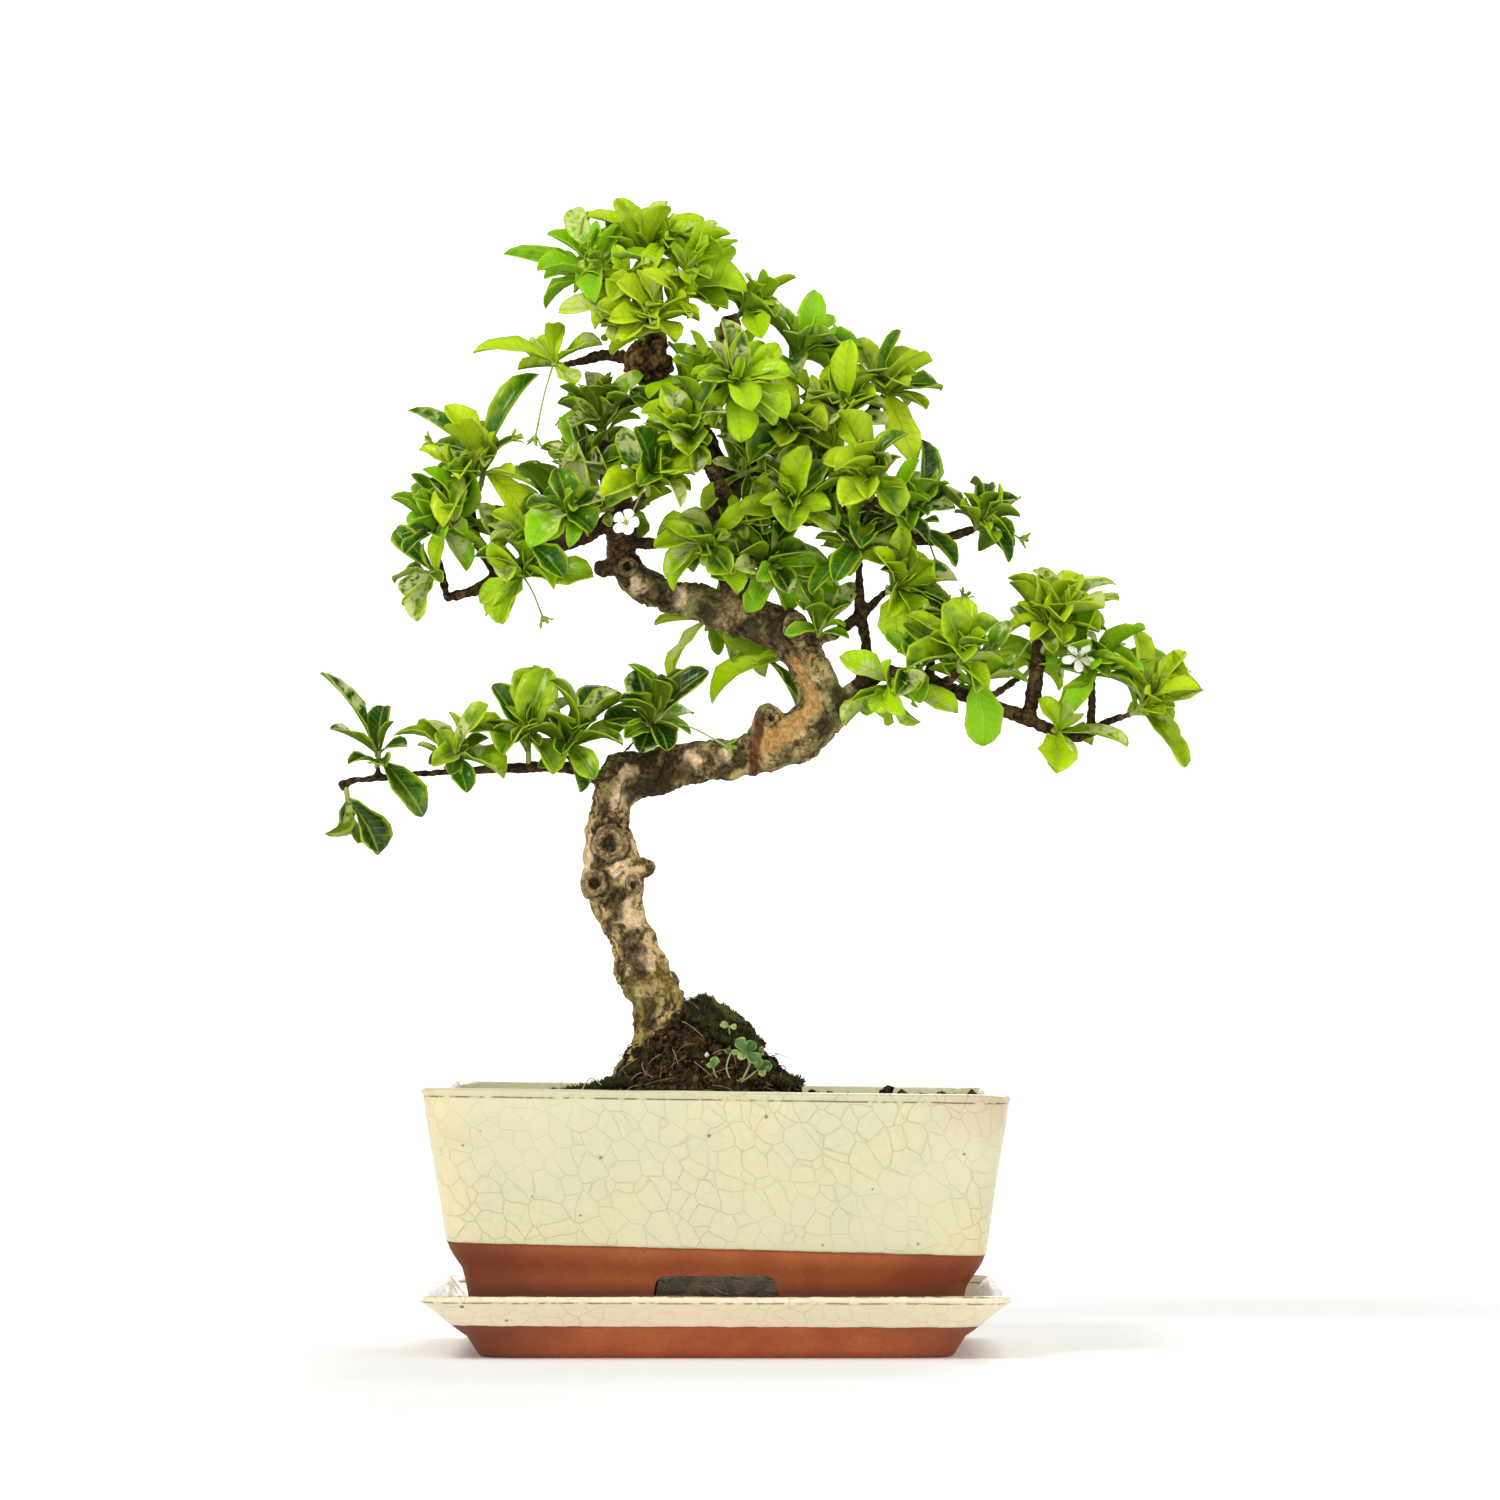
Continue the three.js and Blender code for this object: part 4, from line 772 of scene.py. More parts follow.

# %% [markdown]
# Bark is never one colour. Pale cork, grey lichen and almost black cracks lie in patches of a few
# millimetres, the foot of the trunk is green with algae, and the young wood is dark. The black of the
# cracks is dark bark with painted shade in it. The marks that the mesh carries steer the mix, and noise
# breaks up its edges.

# %% Bark
bark = Finish("bark", Specular_IOR_Level=0.12)
pale = bark.mark("paleness")
cork = bark.mark("cork")
rise = bark.axis("Z") * 1000
patches = bark.clouds(150, 4, roughness=0.65)
specks = bark.clouds(600, 4, roughness=0.75)
young = bark.mix(specks.step(0.35, 0.7), tint("#1D130C"), tint("#574129"))
young = bark.mix(patches.step(0.5, 0.64) * 0.5, young, tint("#7A6036"))
old = bark.mix(patches.step(0.36, 0.6), tint("#4C3A1C"), tint("#D0B47C"))
algae = rise.step(150, 105) * bark.clouds(130, 3).step(0.38, 0.58)
lichen = bark.clouds(110, 3).step(0.4, 0.6) * (rise + bark.axis("X") * 1000).step(190, 230)
old = bark.over(
    old, (bark.clouds(95, 3).step(0.5, 0.66) * 0.6, "#93894F"),
    (bark.clouds(330, 5, roughness=0.75).step(0.51, 0.59) * 0.85, "#302312"),
    (bark.clouds(640, 3).step(0.55, 0.66) * 0.55, "#281D11"),
    (algae * 0.7, "#85761F"), (lichen * 0.6, "#888A4E"),
)
blend = bark.mix((pale + 0.7 * (patches - 0.5)).step(0.12, 0.72), young, old)
smooth_bark = bark.mix(specks.step(0.35, 0.7), tint("#BC9A6C"), tint("#F6E0BC"))
blend = bark.mix(bark.mark("bare") * 0.85, blend, smooth_bark)
callus = bark.mix(specks.step(0.35, 0.7), tint("#5A4428"), tint("#B89C74"))
blend = bark.mix(bark.mark("healed") * 0.7, blend, callus)
grime = bark.mix(specks, tint("#171009"), tint("#42341F"))
blend = bark.mix(bark.mark("stain") * 0.85 * (1 - bark.mark("healed")), blend, grime)
torn = bark.mix(specks.step(0.3, 0.7), tint("#8A5F32"), tint("#C69B5C"))
blend = bark.mix(bark.mark("peeled") * 0.85, blend, torn)
slant = bark.axis("X") * 1000 - BAND_X - 0.12 * (rise - 206) + 3 * (bark.clouds(120, 2) - 0.5)
band = abs(slant).step(2.3, 1.1) * abs(rise - 208).step(15, 11)
# The almost black of the cracks between cork plates, and of the scars' hollows and grooves, is dark bark and
# painted shade
blend = bark.over(
    blend, (band * 0.85, "#4E1F12"), (cork.step(0.34, 0.05) * 0.75, "#1C130A"),
    (bark.mark("hollow") * 0.95, "#140D07"), (rise.step(99, 90) * 0.8, "#2A1C12"),
    (specks.step(0.45, 0.75) * 0.2 * pale, "#D8C49A"),
)
bark.colour(blend)
bark.rough(0.88 - 0.25 * specks * pale)
bark.bump(specks * 0.6 + bark.clouds(1500, 3) * 0.4, 0.45 * MM)
wood.data.materials.append(bark.material)
dressed(wood, "tree")

# %% [markdown]
# A shoot is one green stem with its leaves. The CAD model places its leaves by a rule with seeded draws,
# and the same rule is written out again here in Python. So every fine leaf starts from the root and
# reaches the tip of a CAD leaf. Placing hundreds of leaves by hand would take days.

# %% The shoots
# Name, root in the wood, end of the green shoot, number of leaves set round it in turn, leaves that reach
# a place of their own (tip x, y, z and width), then the ends of bud stalks, all in millimetres
SHOOTS = [
  ["apex_top", [-27, 0, 375], [-25, 0, 387], 3,
    [[-35, 4, 404, 8], [-17, -4, 401, 9], [-17, -14, 395, 8], [-5, 8, 398, 8], [-45, -8, 396, 9],
      [-27, 12, 401, 8]], []],
  ["apex_right", [-22, -1, 361], [-7, -4, 374], 1,
    [[7, 0, 388, 9], [10, -10, 371, 16], [2, 10, 382, 10], [-2, -12, 385, 9], [9, 10, 365, 9]], []],
  ["apex_left", [-24, -1, 367], [-49, -3, 377], 0,
    [[-75, 2, 384, 8], [-58, -6, 391, 9], [-63, -8, 375, 10], [-62, 4, 367, 9], [-49, -14, 387, 9]],
    []],
  ["apex_front", [-22, -2, 356], [-23, -20, 357], 1,
    [[-54, -22, 363, 11], [-38, -28, 370, 10], [-10, -26, 364, 10], [-14, -22, 351, 10],
      [-33, -28, 350, 9]], []],
  ["apex_low", [-53, -5, 343], [-58, -6, 344], 0,
    [[-85, -6, 350, 11], [-54, -10, 357, 9], [-63, 4, 353, 7], [-50, -12, 335, 8],
      [-41, -14, 351, 9]], [[-64, -8, 316]]],
  ["top_right", [5, 5, 359], [11, 4, 366], 0,
    [[11, 4, 374, 7], [24, 0, 360, 9], [20, 12, 368, 8], [16, -8, 350, 9]], []],
  ["top_right_out", [23, 4, 344], [31, 3, 349], 1,
    [[41, 6, 362, 8], [34, -3, 363, 7], [51, 0, 351, 10], [47, 9, 344, 10], [28, -10, 355, 9],
      [42, -9, 353, 9]], []],
  ["upper_right_tip", [58, 0, 332], [60, 0, 335], 1,
    [[69, -6, 349, 15], [79, 4, 335, 11], [73, -8, 327, 10], [66, 10, 344, 9], [52, 6, 346, 10],
      [69, -6, 310, 10], [66, 6, 319, 8]], []],
  ["upper_right_front", [47, 2, 322], [45, -14, 329], 1,
    [[32, -18, 332, 11], [55, -22, 331, 10], [35, -26, 320, 11], [50, -22, 312, 11]], []],
  ["right_mid_tip", [89, 0, 285], [93, 0, 289], 0,
    [[104, -2, 298, 9], [96, 7, 297, 8], [85, -8, 294, 8], [101, 8, 289, 7]], [[108, -2, 282]]],
  ["right_mid_in", [70, 1, 283], [68, -4, 294], 1,
    [[83, -5, 272, 9], [53, -10, 303, 10], [76, -4, 303, 9], [71, 8, 309, 9], [82, 10, 300, 9],
      [55, -14, 285, 9]], [[78, -6, 271]]],
  ["right_mid_front", [58, -27, 295], [52, -34, 303], 1,
    [[38, -38, 308, 11], [63, -36, 289, 12], [43, -42, 291, 11], [58, -30, 315, 10]], []],
  ["crown_front", [-6, -37, 309], [-10, -44, 316], 5, [], []],
  ["crown_front_up", [4, -25, 332], [7, -34, 334], 5, [], []],
  ["leader_tip", [-39, -4, 315], [-40, -6, 325], 1,
    [[-52, -8, 333, 10], [-25, -12, 339, 10], [-45, 5, 341, 9], [-50, -14, 320, 9],
      [-30, -20, 330, 10]], []],
  ["leader_front", [-24, -27, 296], [-23, -36, 301], 4, [], []],
  ["leader_back", [-42, 27, 301], [-46, 34, 312], 3, [[-60, 26, 316, 7], [-52, 30, 321, 7]], []],
  ["crown_back", [14, 49, 311], [15, 56, 322], 5, [], []],
  ["crown_back_up", [4, 29, 335], [6, 38, 345], 5, [], []],
  ["crown_mid", [26, 5, 314], [27, -14, 321], 5, [], []],
  ["crown_mid_low", [22, 7, 292], [26, -20, 294], 5, [], []],
  ["crown_face", [1, 2, 290], [-4, -18, 277], 1,
    [[-18, -20, 269, 8], [7, -22, 262, 9], [-22, -18, 278, 8], [-9, -28, 283, 9]], []],
  ["crown_low", [7, 0, 268], [21, -14, 273], 1,
    [[40, -18, 263, 10], [31, -24, 277, 10], [14, -16, 260, 8], [25, -10, 262, 9]], []],
  ["red_twig_top", [50, -8, 273], [48, -11, 279], 1,
    [[39, -16, 288, 10], [58, -13, 278, 10], [34, -18, 260, 10], [41, -24, 267, 9], [54, 4, 287, 9]],
    []],
  ["red_twig_right", [59, -10, 263], [64, -13, 264], 1,
    [[72, -10, 277, 10], [79, -14, 260, 11], [68, -22, 253, 10], [58, -26, 273, 9],
      [63, -18, 246, 12]], []],
  ["stub_shoot", [74, -9, 241], [78, -11, 247], 1,
    [[69, -16, 261, 9], [88, -16, 245, 9], [81, -4, 257, 9], [92, -8, 253, 9]], [[87, -8, 263]]],
  ["low_right_mid", [92, -6, 225], [90, -9, 235], 1,
    [[96, -13, 243, 8], [79, -14, 229, 9], [102, -4, 234, 8], [82, 4, 239, 8], [93, -12, 210, 13]], []],
  ["low_right_spur", [112, -5, 246], [118, -6, 255], 0,
    [[112, -8, 272, 10], [127, -2, 271, 10], [139, 6, 271, 10], [139, -10, 262, 13],
      [133, -15, 248, 10], [107, -12, 259, 9], [101, -6, 250, 8], [119, -18, 243, 9]],
    [[103, -12, 238]]],
  ["low_right_front", [84, -23, 235], [84, -34, 241], 4, [], []],
  ["low_right_back", [108, 26, 235], [118, 34, 246], 4, [], []],
  ["low_right_upright", [131, -4, 232], [133, -5, 239], 1,
    [[157, -4, 242, 8], [148, -11, 235, 9], [142, 3, 247, 8], [119, -10, 237, 9], [123, -17, 220, 9]],
    []],
  ["low_right_tip", [144, -4, 221], [151, -4, 223], 0,
    [[170, -2, 230, 12], [157, -9, 231, 9], [163, -9, 202, 9], [162, 2, 213, 10], [147, 5, 239, 9],
      [166, 9, 236, 9]], []],
  ["low_right_hang", [116, -5, 216], [120, -8, 214], 0,
    [[117, -11, 199, 13], [143, -7, 209, 8], [112, -12, 226, 8]], []],
  ["low_right_under", [62, -9, 235], [60, -13, 228], 0, [[84, -15, 222, 9], [54, -15, 221, 8]], []],
  ["upper_left_tip", [-99, -1, 282], [-98, -2, 287], 1,
    [[-115, -4, 296, 9], [-111, 5, 285, 8], [-103, -10, 299, 8], [-85, -8, 288, 9],
      [-109, -9, 277, 7]], []],
  ["upper_left_twig", [-83, 0, 301], [-81, -2, 311], 0,
    [[-63, 0, 341, 10], [-96, -13, 288, 12], [-64, -11, 286, 10], [-107, 3, 331, 8],
      [-94, -4, 330, 10], [-91, -13, 321, 11], [-102, 7, 316, 8], [-74, -15, 317, 10]],
    [[-102, -3, 317], [-70, -8, 318]]],
  ["upper_left_hang", [-96, 0, 269], [-100, -4, 271], 0,
    [[-114, 3, 270, 10], [-106, -8, 254, 10], [-109, -13, 262, 9]], []],
  ["upper_left_spur", [-67, -1, 271], [-68, -6, 269], 0,
    [[-75, -8, 252, 12], [-43, -10, 268, 12], [-73, -12, 283, 10], [-59, 6, 280, 9]], [[-60, -8, 253]]],
  ["upper_left_front", [-50, -25, 289], [-52, -31, 290], 1,
    [[-65, -36, 292, 10], [-38, -34, 293, 10], [-55, -30, 305, 10], [-43, -38, 282, 11],
      [-59, -36, 279, 10]], []],
  ["upper_left_back", [-56, 29, 289], [-59, 35, 299], 4, [], []],
  ["upper_left_mid", [-77, 1, 270], [-76, -5, 280], 1,
    [[-93, -9, 284, 9], [-82, -13, 294, 9], [-67, -2, 296, 10], [-73, -14, 266, 8]], []],
  ["low_left_tip", [-119, -2, 202], [-118, -3, 208], 0,
    [[-138, -3, 236, 8], [-102, -9, 186, 11], [-109, -10, 211, 8]], []],
  ["low_left_drop", [-130, -2, 196], [-129, -3, 191], 0, [[-117, -4, 173, 13]], []],
  ["low_left_mid", [-95, -1, 202], [-91, -4, 207], 0,
    [[-101, -2, 204, 6], [-97, -4, 215, 8], [-80, -8, 224, 10], [-74, -12, 200, 12],
      [-87, -12, 194, 8]], []],
  ["low_left_fan", [-66, 1, 203], [-66, -4, 216], 1,
    [[-60, -6, 237, 14], [-79, -2, 231, 9], [-91, -9, 218, 10], [-51, 5, 227, 9],
      [-75, -17, 208, 12], [-57, -15, 199, 12]], []],
  ["low_left_inner", [-56, 2, 203], [-50, -6, 213], 1,
    [[-31, -8, 226, 12], [-40, 7, 232, 11], [-43, -16, 200, 9], [-33, -14, 212, 8],
      [-59, -18, 221, 10]], []],
  ["rosette", [-24, 0, 215], [-23, -1, 219], 0,
    [[-28, -2, 237, 12], [-2, -4, 235, 11], [-39, -8, 219, 11], [-17, -10, 209, 10],
      [-27, -13, 207, 9], [-35, 8, 227, 9]], [[5, -13, 209]]],
  ["under_left", [-5, 5, 258], [-2, 15, 254], 0, [[-16, 17, 234, 10], [-22, 12, 252, 7]], []],
  ["under_right", [30, -4, 243], [17, 12, 240], 0, [[-4, 13, 228, 9], [28, 9, 225, 9]], []],
]
# Name, the shoot that bears it, its middle, the way it faces, and how wide it is
BLOOMS = [
  ["bloom_left", "leader_front", [-31, -42, 285], [-0.15, -1, 0.2], 9],
  ["bloom_right", "low_right_upright", [125.5, -18, 240], [0.1, -1, 0.25], 11],
]
# Leaves at the top stand in full light and are the youngest, and those low on the left are the oldest and
# stand in shade. So each shoot's number is painted light and shade, added to its leaves' tone.
BRIGHTNESS = (
    ("apex", 0.5), ("top", 0.2), ("low_left_drop", -0.8), ("low_left_tip", -0.7),
    ("low_left", -0.36), ("rosette", -0.4), ("low_right", 0.32), ("leader", -0.2),
    ("right_mid", -0.1), ("upper_left", 0.12), ("upper_right", 0.16), ("under", 0.2), ("crown", 0.12),
)
LEAF_SLOTS = ("leaf_bright", "leaf_mid", "leaf_dark", "leaf_young")
print("shoots:", len(SHOOTS))

# %% [markdown]
# Draws are made with plain whole-number sums, so the CAD program and this one get the same values. Where
# two leaves would cross, the CAD model shifted one of them. Each candidate place is tried in the same
# order here, and the first one whose points are on the CAD mesh is the right one.

# %% The leaf rule
WORD = 0xFFFFFFFF
SHIFTS = (0, -3, 3, -6, 6, -9, 9, -12, 12, -15, 15)
# Leaves that follow each other round a stem stand this far apart, in radians
GOLDEN_TURN = 2.39996


def draws(seed):
    """Seeded draws between 0 and 1."""
    state = seed
    while True:
        state = (state + 0x6D2B79F5) & WORD
        mixed = (state ^ state >> 15) * (state | 1) & WORD
        mixed ^= (mixed + (mixed ^ mixed >> 7) * (mixed | 61)) & WORD
        yield ((mixed ^ mixed >> 14) & WORD) / 2**32


def round_stem(axis, turn):
    """A direction square to an axis, turned round it."""
    ahead = Vector((0.3, 1, 0.1))
    ahead = (ahead - axis * axis.dot(ahead)).normalized()
    return ahead * math.cos(turn) + axis.cross(ahead) * math.sin(turn)


def leaf_of(number, i, attempt):
    """Root, tip, width, up side, fold and arch of a leaf of the CAD model."""
    _, start, end, turned, reaching, _ = SHOOTS[number]
    draw = draws((number + 1) * 1009 + i * 31)
    r1, r2, r3, r4 = (next(draw) for _ in range(4))
    start, stem = Vector(start), Vector(end) - Vector(start)
    if i < len(reaching):
        x, y, z, width = reaching[i]
        seat = 0.42 + 0.46 * (i + 1) / len(reaching)
        root = start + stem * seat
        tip = Vector((x, y + SHIFTS[attempt], z))
        width *= 1.2
        up = Vector((0.8 * (r1 - 0.5), -0.25 - 0.75 * r2, 0.85))
    else:
        place = i - len(reaching)
        share = (place + 1) / turned
        axis = stem.normalized()
        lean = 1.5 - 0.8 * share + 0.3 * (r2 - 0.5)
        out = round_stem(axis, GOLDEN_TURN * place + r1 + 0.85 * attempt)
        seat = 0.38 + 0.5 * share
        root = start + stem * seat
        tip = root + 22 * (0.85 + 0.3 * r3) * (axis * math.cos(lean) + out * math.sin(lean))
        width = 13.5 * (0.85 + 0.3 * r4)
        up = axis + Vector((0.3 * (r1 - 0.5), -0.3, 0.8))
    root = root + (tip - root).normalized() * 0.4
    return [root, tip, width, up, 0.2 + 0.2 * r3, 0.03 + 0.08 * r4, seat]


def blade_place(leaf):
    """A function from the share of the length and the distance from the midrib to a place."""
    root, tip, _, up, fold, arch, _ = leaf
    length = (tip - root).length
    along = (tip - root).normalized()
    side = along.cross(up).normalized()
    normal = side.cross(along)

    def at(share, offset, rise=0.0):
        bend = abs(offset) * fold + 4 * arch * length * share * (1 - share) + rise
        return root + along * (length * share) + side * offset + normal * bend

    return at


def found(leaf, cad_points):
    """Whether the CAD mesh has points of this leaf."""
    at = blade_place(leaf)
    half = leaf[2] / 2
    spots = [at(s, o, r) for s, o in ((1, 0), (0.76, -half), (0.76, half), (0.76, 0)) for r in (-0.35, 0.35)]
    return sum(cad_points.find(spot * MM)[2] < 0.06 * MM for spot in spots) >= 2


def cad_leaves(number):
    """The leaves that the CAD model has on a shoot."""
    name, _, _, turned, reaching, _ = SHOOTS[number]
    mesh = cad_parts["shoot_" + name].data
    cad_points = kdtree.KDTree(len(mesh.vertices))
    for index, vertex in enumerate(mesh.vertices):
        cad_points.insert(vertex.co, index)
    cad_points.balance()
    for i in range(len(reaching) + turned):
        tries = (leaf_of(number, i, attempt) for attempt in range(len(SHIFTS)))
        leaf = next((leaf for leaf in tries if found(leaf, cad_points)), None)
        if leaf:
            yield leaf


kept_leaves = [list(cad_leaves(number)) for number in range(len(SHOOTS))]
print("leaves on the CAD model:", sum(map(len, kept_leaves)), "of",
      sum(shoot[3] + len(shoot[4]) for shoot in SHOOTS))

# %% [markdown]
# The real tree has more leaves than a CAD model can carry. Small ones sprout between the large ones, and
# at the end of each shoot stands a tuft of very young ones. These are extra, so they stay inside the
# space that the CAD leaves already fill.

# %% More leaves between them
# Shoots with many leaves, and shoots where wood or background shows between a few
CROWDED = ("crown", "leader", "rosette", "red_twig", "upper_right", "right_mid", "apex_front")
SPARSE = (
    "upper_left_front", "upper_left_mid", "upper_left_hang", "apex_low", "low_left_drop", "low_left_tip",
    "low_right_hang", "under_left", "under_right",
)
BOX_LOW, BOX_HIGH = (Vector(corner) / MM for corner in cad_box)
# Short side stems: root in the wood or on the shoot, and end, each on the shoot that carries it
SPRIGS = {
    "crown_front": [((2.7, 2, 303), (15, -15, 307))], "crown_mid": [((27, 4, 314), (38, -12, 309))],
    "crown_front_up": [((-7, 0, 321), (-16, -15, 322)), ((-14, -1, 329), (-5, -15, 341))],
    "crown_face": [((0, 4, 286), (11, -16, 287))], "crown_mid_low": [((24, 8, 292), (37, -10, 296))],
    "leader_tip": [((-38, -5, 305), (-48, -16, 309))], "leader_front": [((-35, -4, 293), (-44, -16, 291))],
    "upper_right_front": [((44, 2, 320), (36, -10, 329))], "top_right": [((-1, 4, 334), (11, -8, 334))],
    "crown_back": [((6, 28, 300), (22, 34, 304))], "crown_back_up": [((-4, 14, 327), (-16, 26, 336))],
    "leader_back": [((-37, 12, 294), (-30, 26, 292))], "right_mid_in": [((58, 2, 286), (62, -12, 293))],
    "apex_front": [((-25, -4, 352), (-35, -14, 357)), ((-22.5, -12, 356.5), (-13, -19, 365))], 
    "apex_top": [((-25, 0, 366), (-32, -12, 374)), ((-26, 0, 380), (-16, -9, 388))],
    "upper_left_mid": [((-62, -1, 276), (-66, -14, 282))], "low_right_mid": [((70, -8, 234), (70, -16, 240))],
    "crown_low": [((33, -6, 244), (38, -14, 254))], "low_right_spur": [((112, -5, 240), (122, -12, 258))],
    "apex_left": [((-36, -2, 372), (-42, -12, 380))], "apex_right": [((-14, -2.5, 368), (-9, -13, 379))],
    "low_right_upright": [((131, -4, 231), (126, -12, 241))],
    "low_right_tip": [((146, -4, 221.5), (153, -11, 228))],
    "upper_left_twig": [((-83, 0, 301), (-90, -10, 306))],
    "upper_left_tip": [((-99, -1, 283), (-94, -10, 291))],
}

# x, z and radius of the gaps between the leaves, where burrs, branches or the background show
GAPS = [
    (4.9, 356.5, 6.5), (-12, 350.5, 5), (-25, 345, 7), (-82, 268.5, 3.5), (-70.5, 274, 3.5), (-59, 280, 3.5),
    (-48, 285.5, 3.5), (-41, 322, 3.5), (-39, 300, 3.5), (15, 347, 4),
]


def leaf_counts(name):
    """How many leaves a shoot gets round its stem, and how many in the tuft at its end."""
    if name in SPARSE:
        return 4, 1
    if name.startswith(CROWDED):
        return 18, 4
    return 9 if name.startswith("low_left") else 14, 4


def in_a_gap(root, tip):
    """Whether a leaf would cover a gap."""
    spots = (tip, Vector(root).lerp(tip, 0.6))
    return any(math.hypot(spot.x - x, spot.z - z) < reach for spot in spots for x, z, reach in GAPS)


def sprig(start, end, count, tufts, seed):
    """Leaves set round a stem by seeded draws, and a tuft of the youngest at its end."""
    draw = draws(seed)
    start, stem = Vector(start), Vector(end) - Vector(start)
    axis = stem.normalized()
    for place in range(count + tufts):
        r1, r2, r3, r4, r5 = (next(draw) for _ in range(5))
        tuft = place >= count
        reach = 5 + 6 * r1 if tuft else 9 + 13 * r1
        lean = 0.25 + 0.6 * r2 if tuft else 0.4 + 1.5 * r2
        seat = 0.97 if tuft else 0.35 + 0.6 * place / count
        out = round_stem(axis, GOLDEN_TURN * place + 1.1 + 2.2 * r3)
        root = start + stem * seat + out * 0.5
        tip = root + reach * (axis * math.cos(lean) + out * math.sin(lean) + Vector((0, 0, 0.15)))
        inside = all(low + 2 < x < high - 2 for low, x, high in zip(BOX_LOW, tip, BOX_HIGH))
        if inside and not in_a_gap(root, tip):
            up = axis + Vector((2.2 * (r3 - 0.5), -0.3 + 1.8 * (r5 - 0.5), 0.8))
            yield [root, tip, reach * (0.38 + 0.2 * r4), up, 0.25 + 0.5 * r5, 0.04 + 0.12 * r3, seat]


print("side stems:", sum(map(len, SPRIGS.values())), "and gaps kept free:", len(GAPS))


# %% [markdown]
# A leaf is a grid of a few cells, because hundreds of them add up. Each point is moved onto the outline:
# narrow at the root, widest near the tip and rounded off. The blade is folded along its midrib, arched
# over its length, and its margin waves. Then it gets a thickness, so it has a real edge and a back.

# %% One leaf
ROWS = (0, 0.12, 0.32, 0.54, 0.74, 0.89, 0.97, 1)
COLUMNS = (-1, -0.55, 0, 0.55, 1)
LEAF_THICK = 0.32


def add_leaf(shape, layers, leaf, seed, young=0.0):
    """Adds one flat leaf to a mesh and marks its points."""
    draw = draws(seed)
    wave, phase, twist, curl, tone, fold, point, notch = (next(draw) for _ in range(8))
    depth = 2 * tone * tone if tone < 0.5 else 1 - 2 * (1 - tone) ** 2
    # Leaves seated nearer the root of their stem are darker: they are older, and it is painted shade deep in
    # the crown
    light = 0.72 * depth + 0.22 * leaf[6]
    cream = next(draw) < 0.32
    at = blade_place(leaf)
    root, tip, width, _, _, _, seat = leaf
    length = (tip - root).length
    blunt = 1.3 + 2.6 * point**1.5
    slender = 0.7 + 0.4 * notch
    reaches = {row: row**slender * (1 - row**blunt) ** 0.5 for row in ROWS}
    widest = max(reaches.values())
    grid = bmesh.ops.create_grid(
        shape, x_segments=len(COLUMNS) - 1, y_segments=len(ROWS) - 1, size=0.5
    )["verts"]
    for spot in grid:
        across = COLUMNS[round((spot.co.x + 0.5) * (len(COLUMNS) - 1))]
        row = ROWS[round((spot.co.y + 0.5) * (len(ROWS) - 1))]
        share = row - (0.2 + 0.2 * notch) * across**2 * row**4 * (1 - row)
        reach = max(0.045, reaches[row] / widest)
        ripple = 1 + 0.1 * math.sin(13 * row + 6 * phase + across)
        offset = across * 0.44 * width * reach * ripple
        rise = abs(offset) * (0.12 + 0.55 * fold**2)
        offset += 0.14 * (twist - 0.5) * length * row * (1 - row)
        rise += across**2 * width * 0.08 * (0.3 + wave) * math.sin(9 * row + 6 * phase + 2 * across)
        rise -= 0.5 * (curl - 0.35) * length * max(0, row - 0.4) ** 1.5
        spot[layers["across"]] = across
        spot[layers["along"]] = row
        # young adds to the tone: youth, and for the shoots the painted light and shade of BRIGHTNESS
        spot[layers["tone"]] = min(1, light + young * (light if young < 0 else 1))
        spot[layers["cream"]] = cream
        spot.co = at(share, offset, rise) * MM


def thicken(shape, layers):
    """Gives every flat leaf in a mesh a thickness, and marks its underside."""
    above = set(shape.verts)
    bmesh.ops.solidify(shape, geom=shape.faces[:], thickness=LEAF_THICK * MM)
    for spot in shape.verts:
        spot[layers["under"]] = 0 if spot in above else 1
    for face in shape.faces:
        backs = sum(spot not in above for spot in face.verts)
        face.smooth = backs in (0, len(face.verts))


# %% [markdown]
# Stems, stalks and buds are tubes: rings of points set along a line and bridged from each to the next.
# A curve object would be quicker to draw, but it is lost when the model is exported.

# %% Tubes, and the stalks that end in a bud
def tube(shape, line, sides):
    """Adds a closed tube along points that each have a diameter, in millimetres."""
    rings = []
    for i, (*place, thick) in enumerate(line):
        way = Vector(line[min(i + 1, len(line) - 1)][:3]) - Vector(line[max(i - 1, 0)][:3])
        turn = way.to_track_quat("Z", "Y").to_matrix().to_4x4()
        ring = bmesh.ops.create_circle(
            shape, cap_ends=i in (0, len(line) - 1), segments=sides, radius=thick / 2 * MM,
            matrix=Matrix.Translation(Vector(place) * MM) @ turn,
        )["verts"]
        rings.append({edge for spot in ring for edge in spot.link_edges})
    made = []
    for ring, following in zip(rings, rings[1:]):
        made += bmesh.ops.bridge_loops(shape, edges=[*ring, *following])["faces"]
    made += [face for edge in (*rings[0], *rings[-1]) for face in edge.link_faces]
    bmesh.ops.recalc_face_normals(shape, faces=list(set(made)))
    return list(set(made))


def add_tubes(shape, lines, sides, material=1):
    """Adds smooth tubes along lines, in one of the finishes of the piece."""
    for line in lines:
        for face in tube(shape, line, sides):
            face.smooth = True
            face.material_index = material


def eased_line(spots, steps=5):
    """More points on a smooth curve through a few, each with its diameter."""
    line = []
    for i in range(len(spots) - 1):
        a, b, c, d = (Vector(spots[max(0, min(len(spots) - 1, i + k))]) for k in (-1, 0, 1, 2))
        for step in range(steps):
            t = step / steps
            line.append(0.5 * (
                2 * b + (c - a) * t + (2 * a - 5 * b + 4 * c - d) * t**2 + (3 * b - a - 3 * c + d) * t**3
            ))
    return [*line, Vector(spots[-1])]


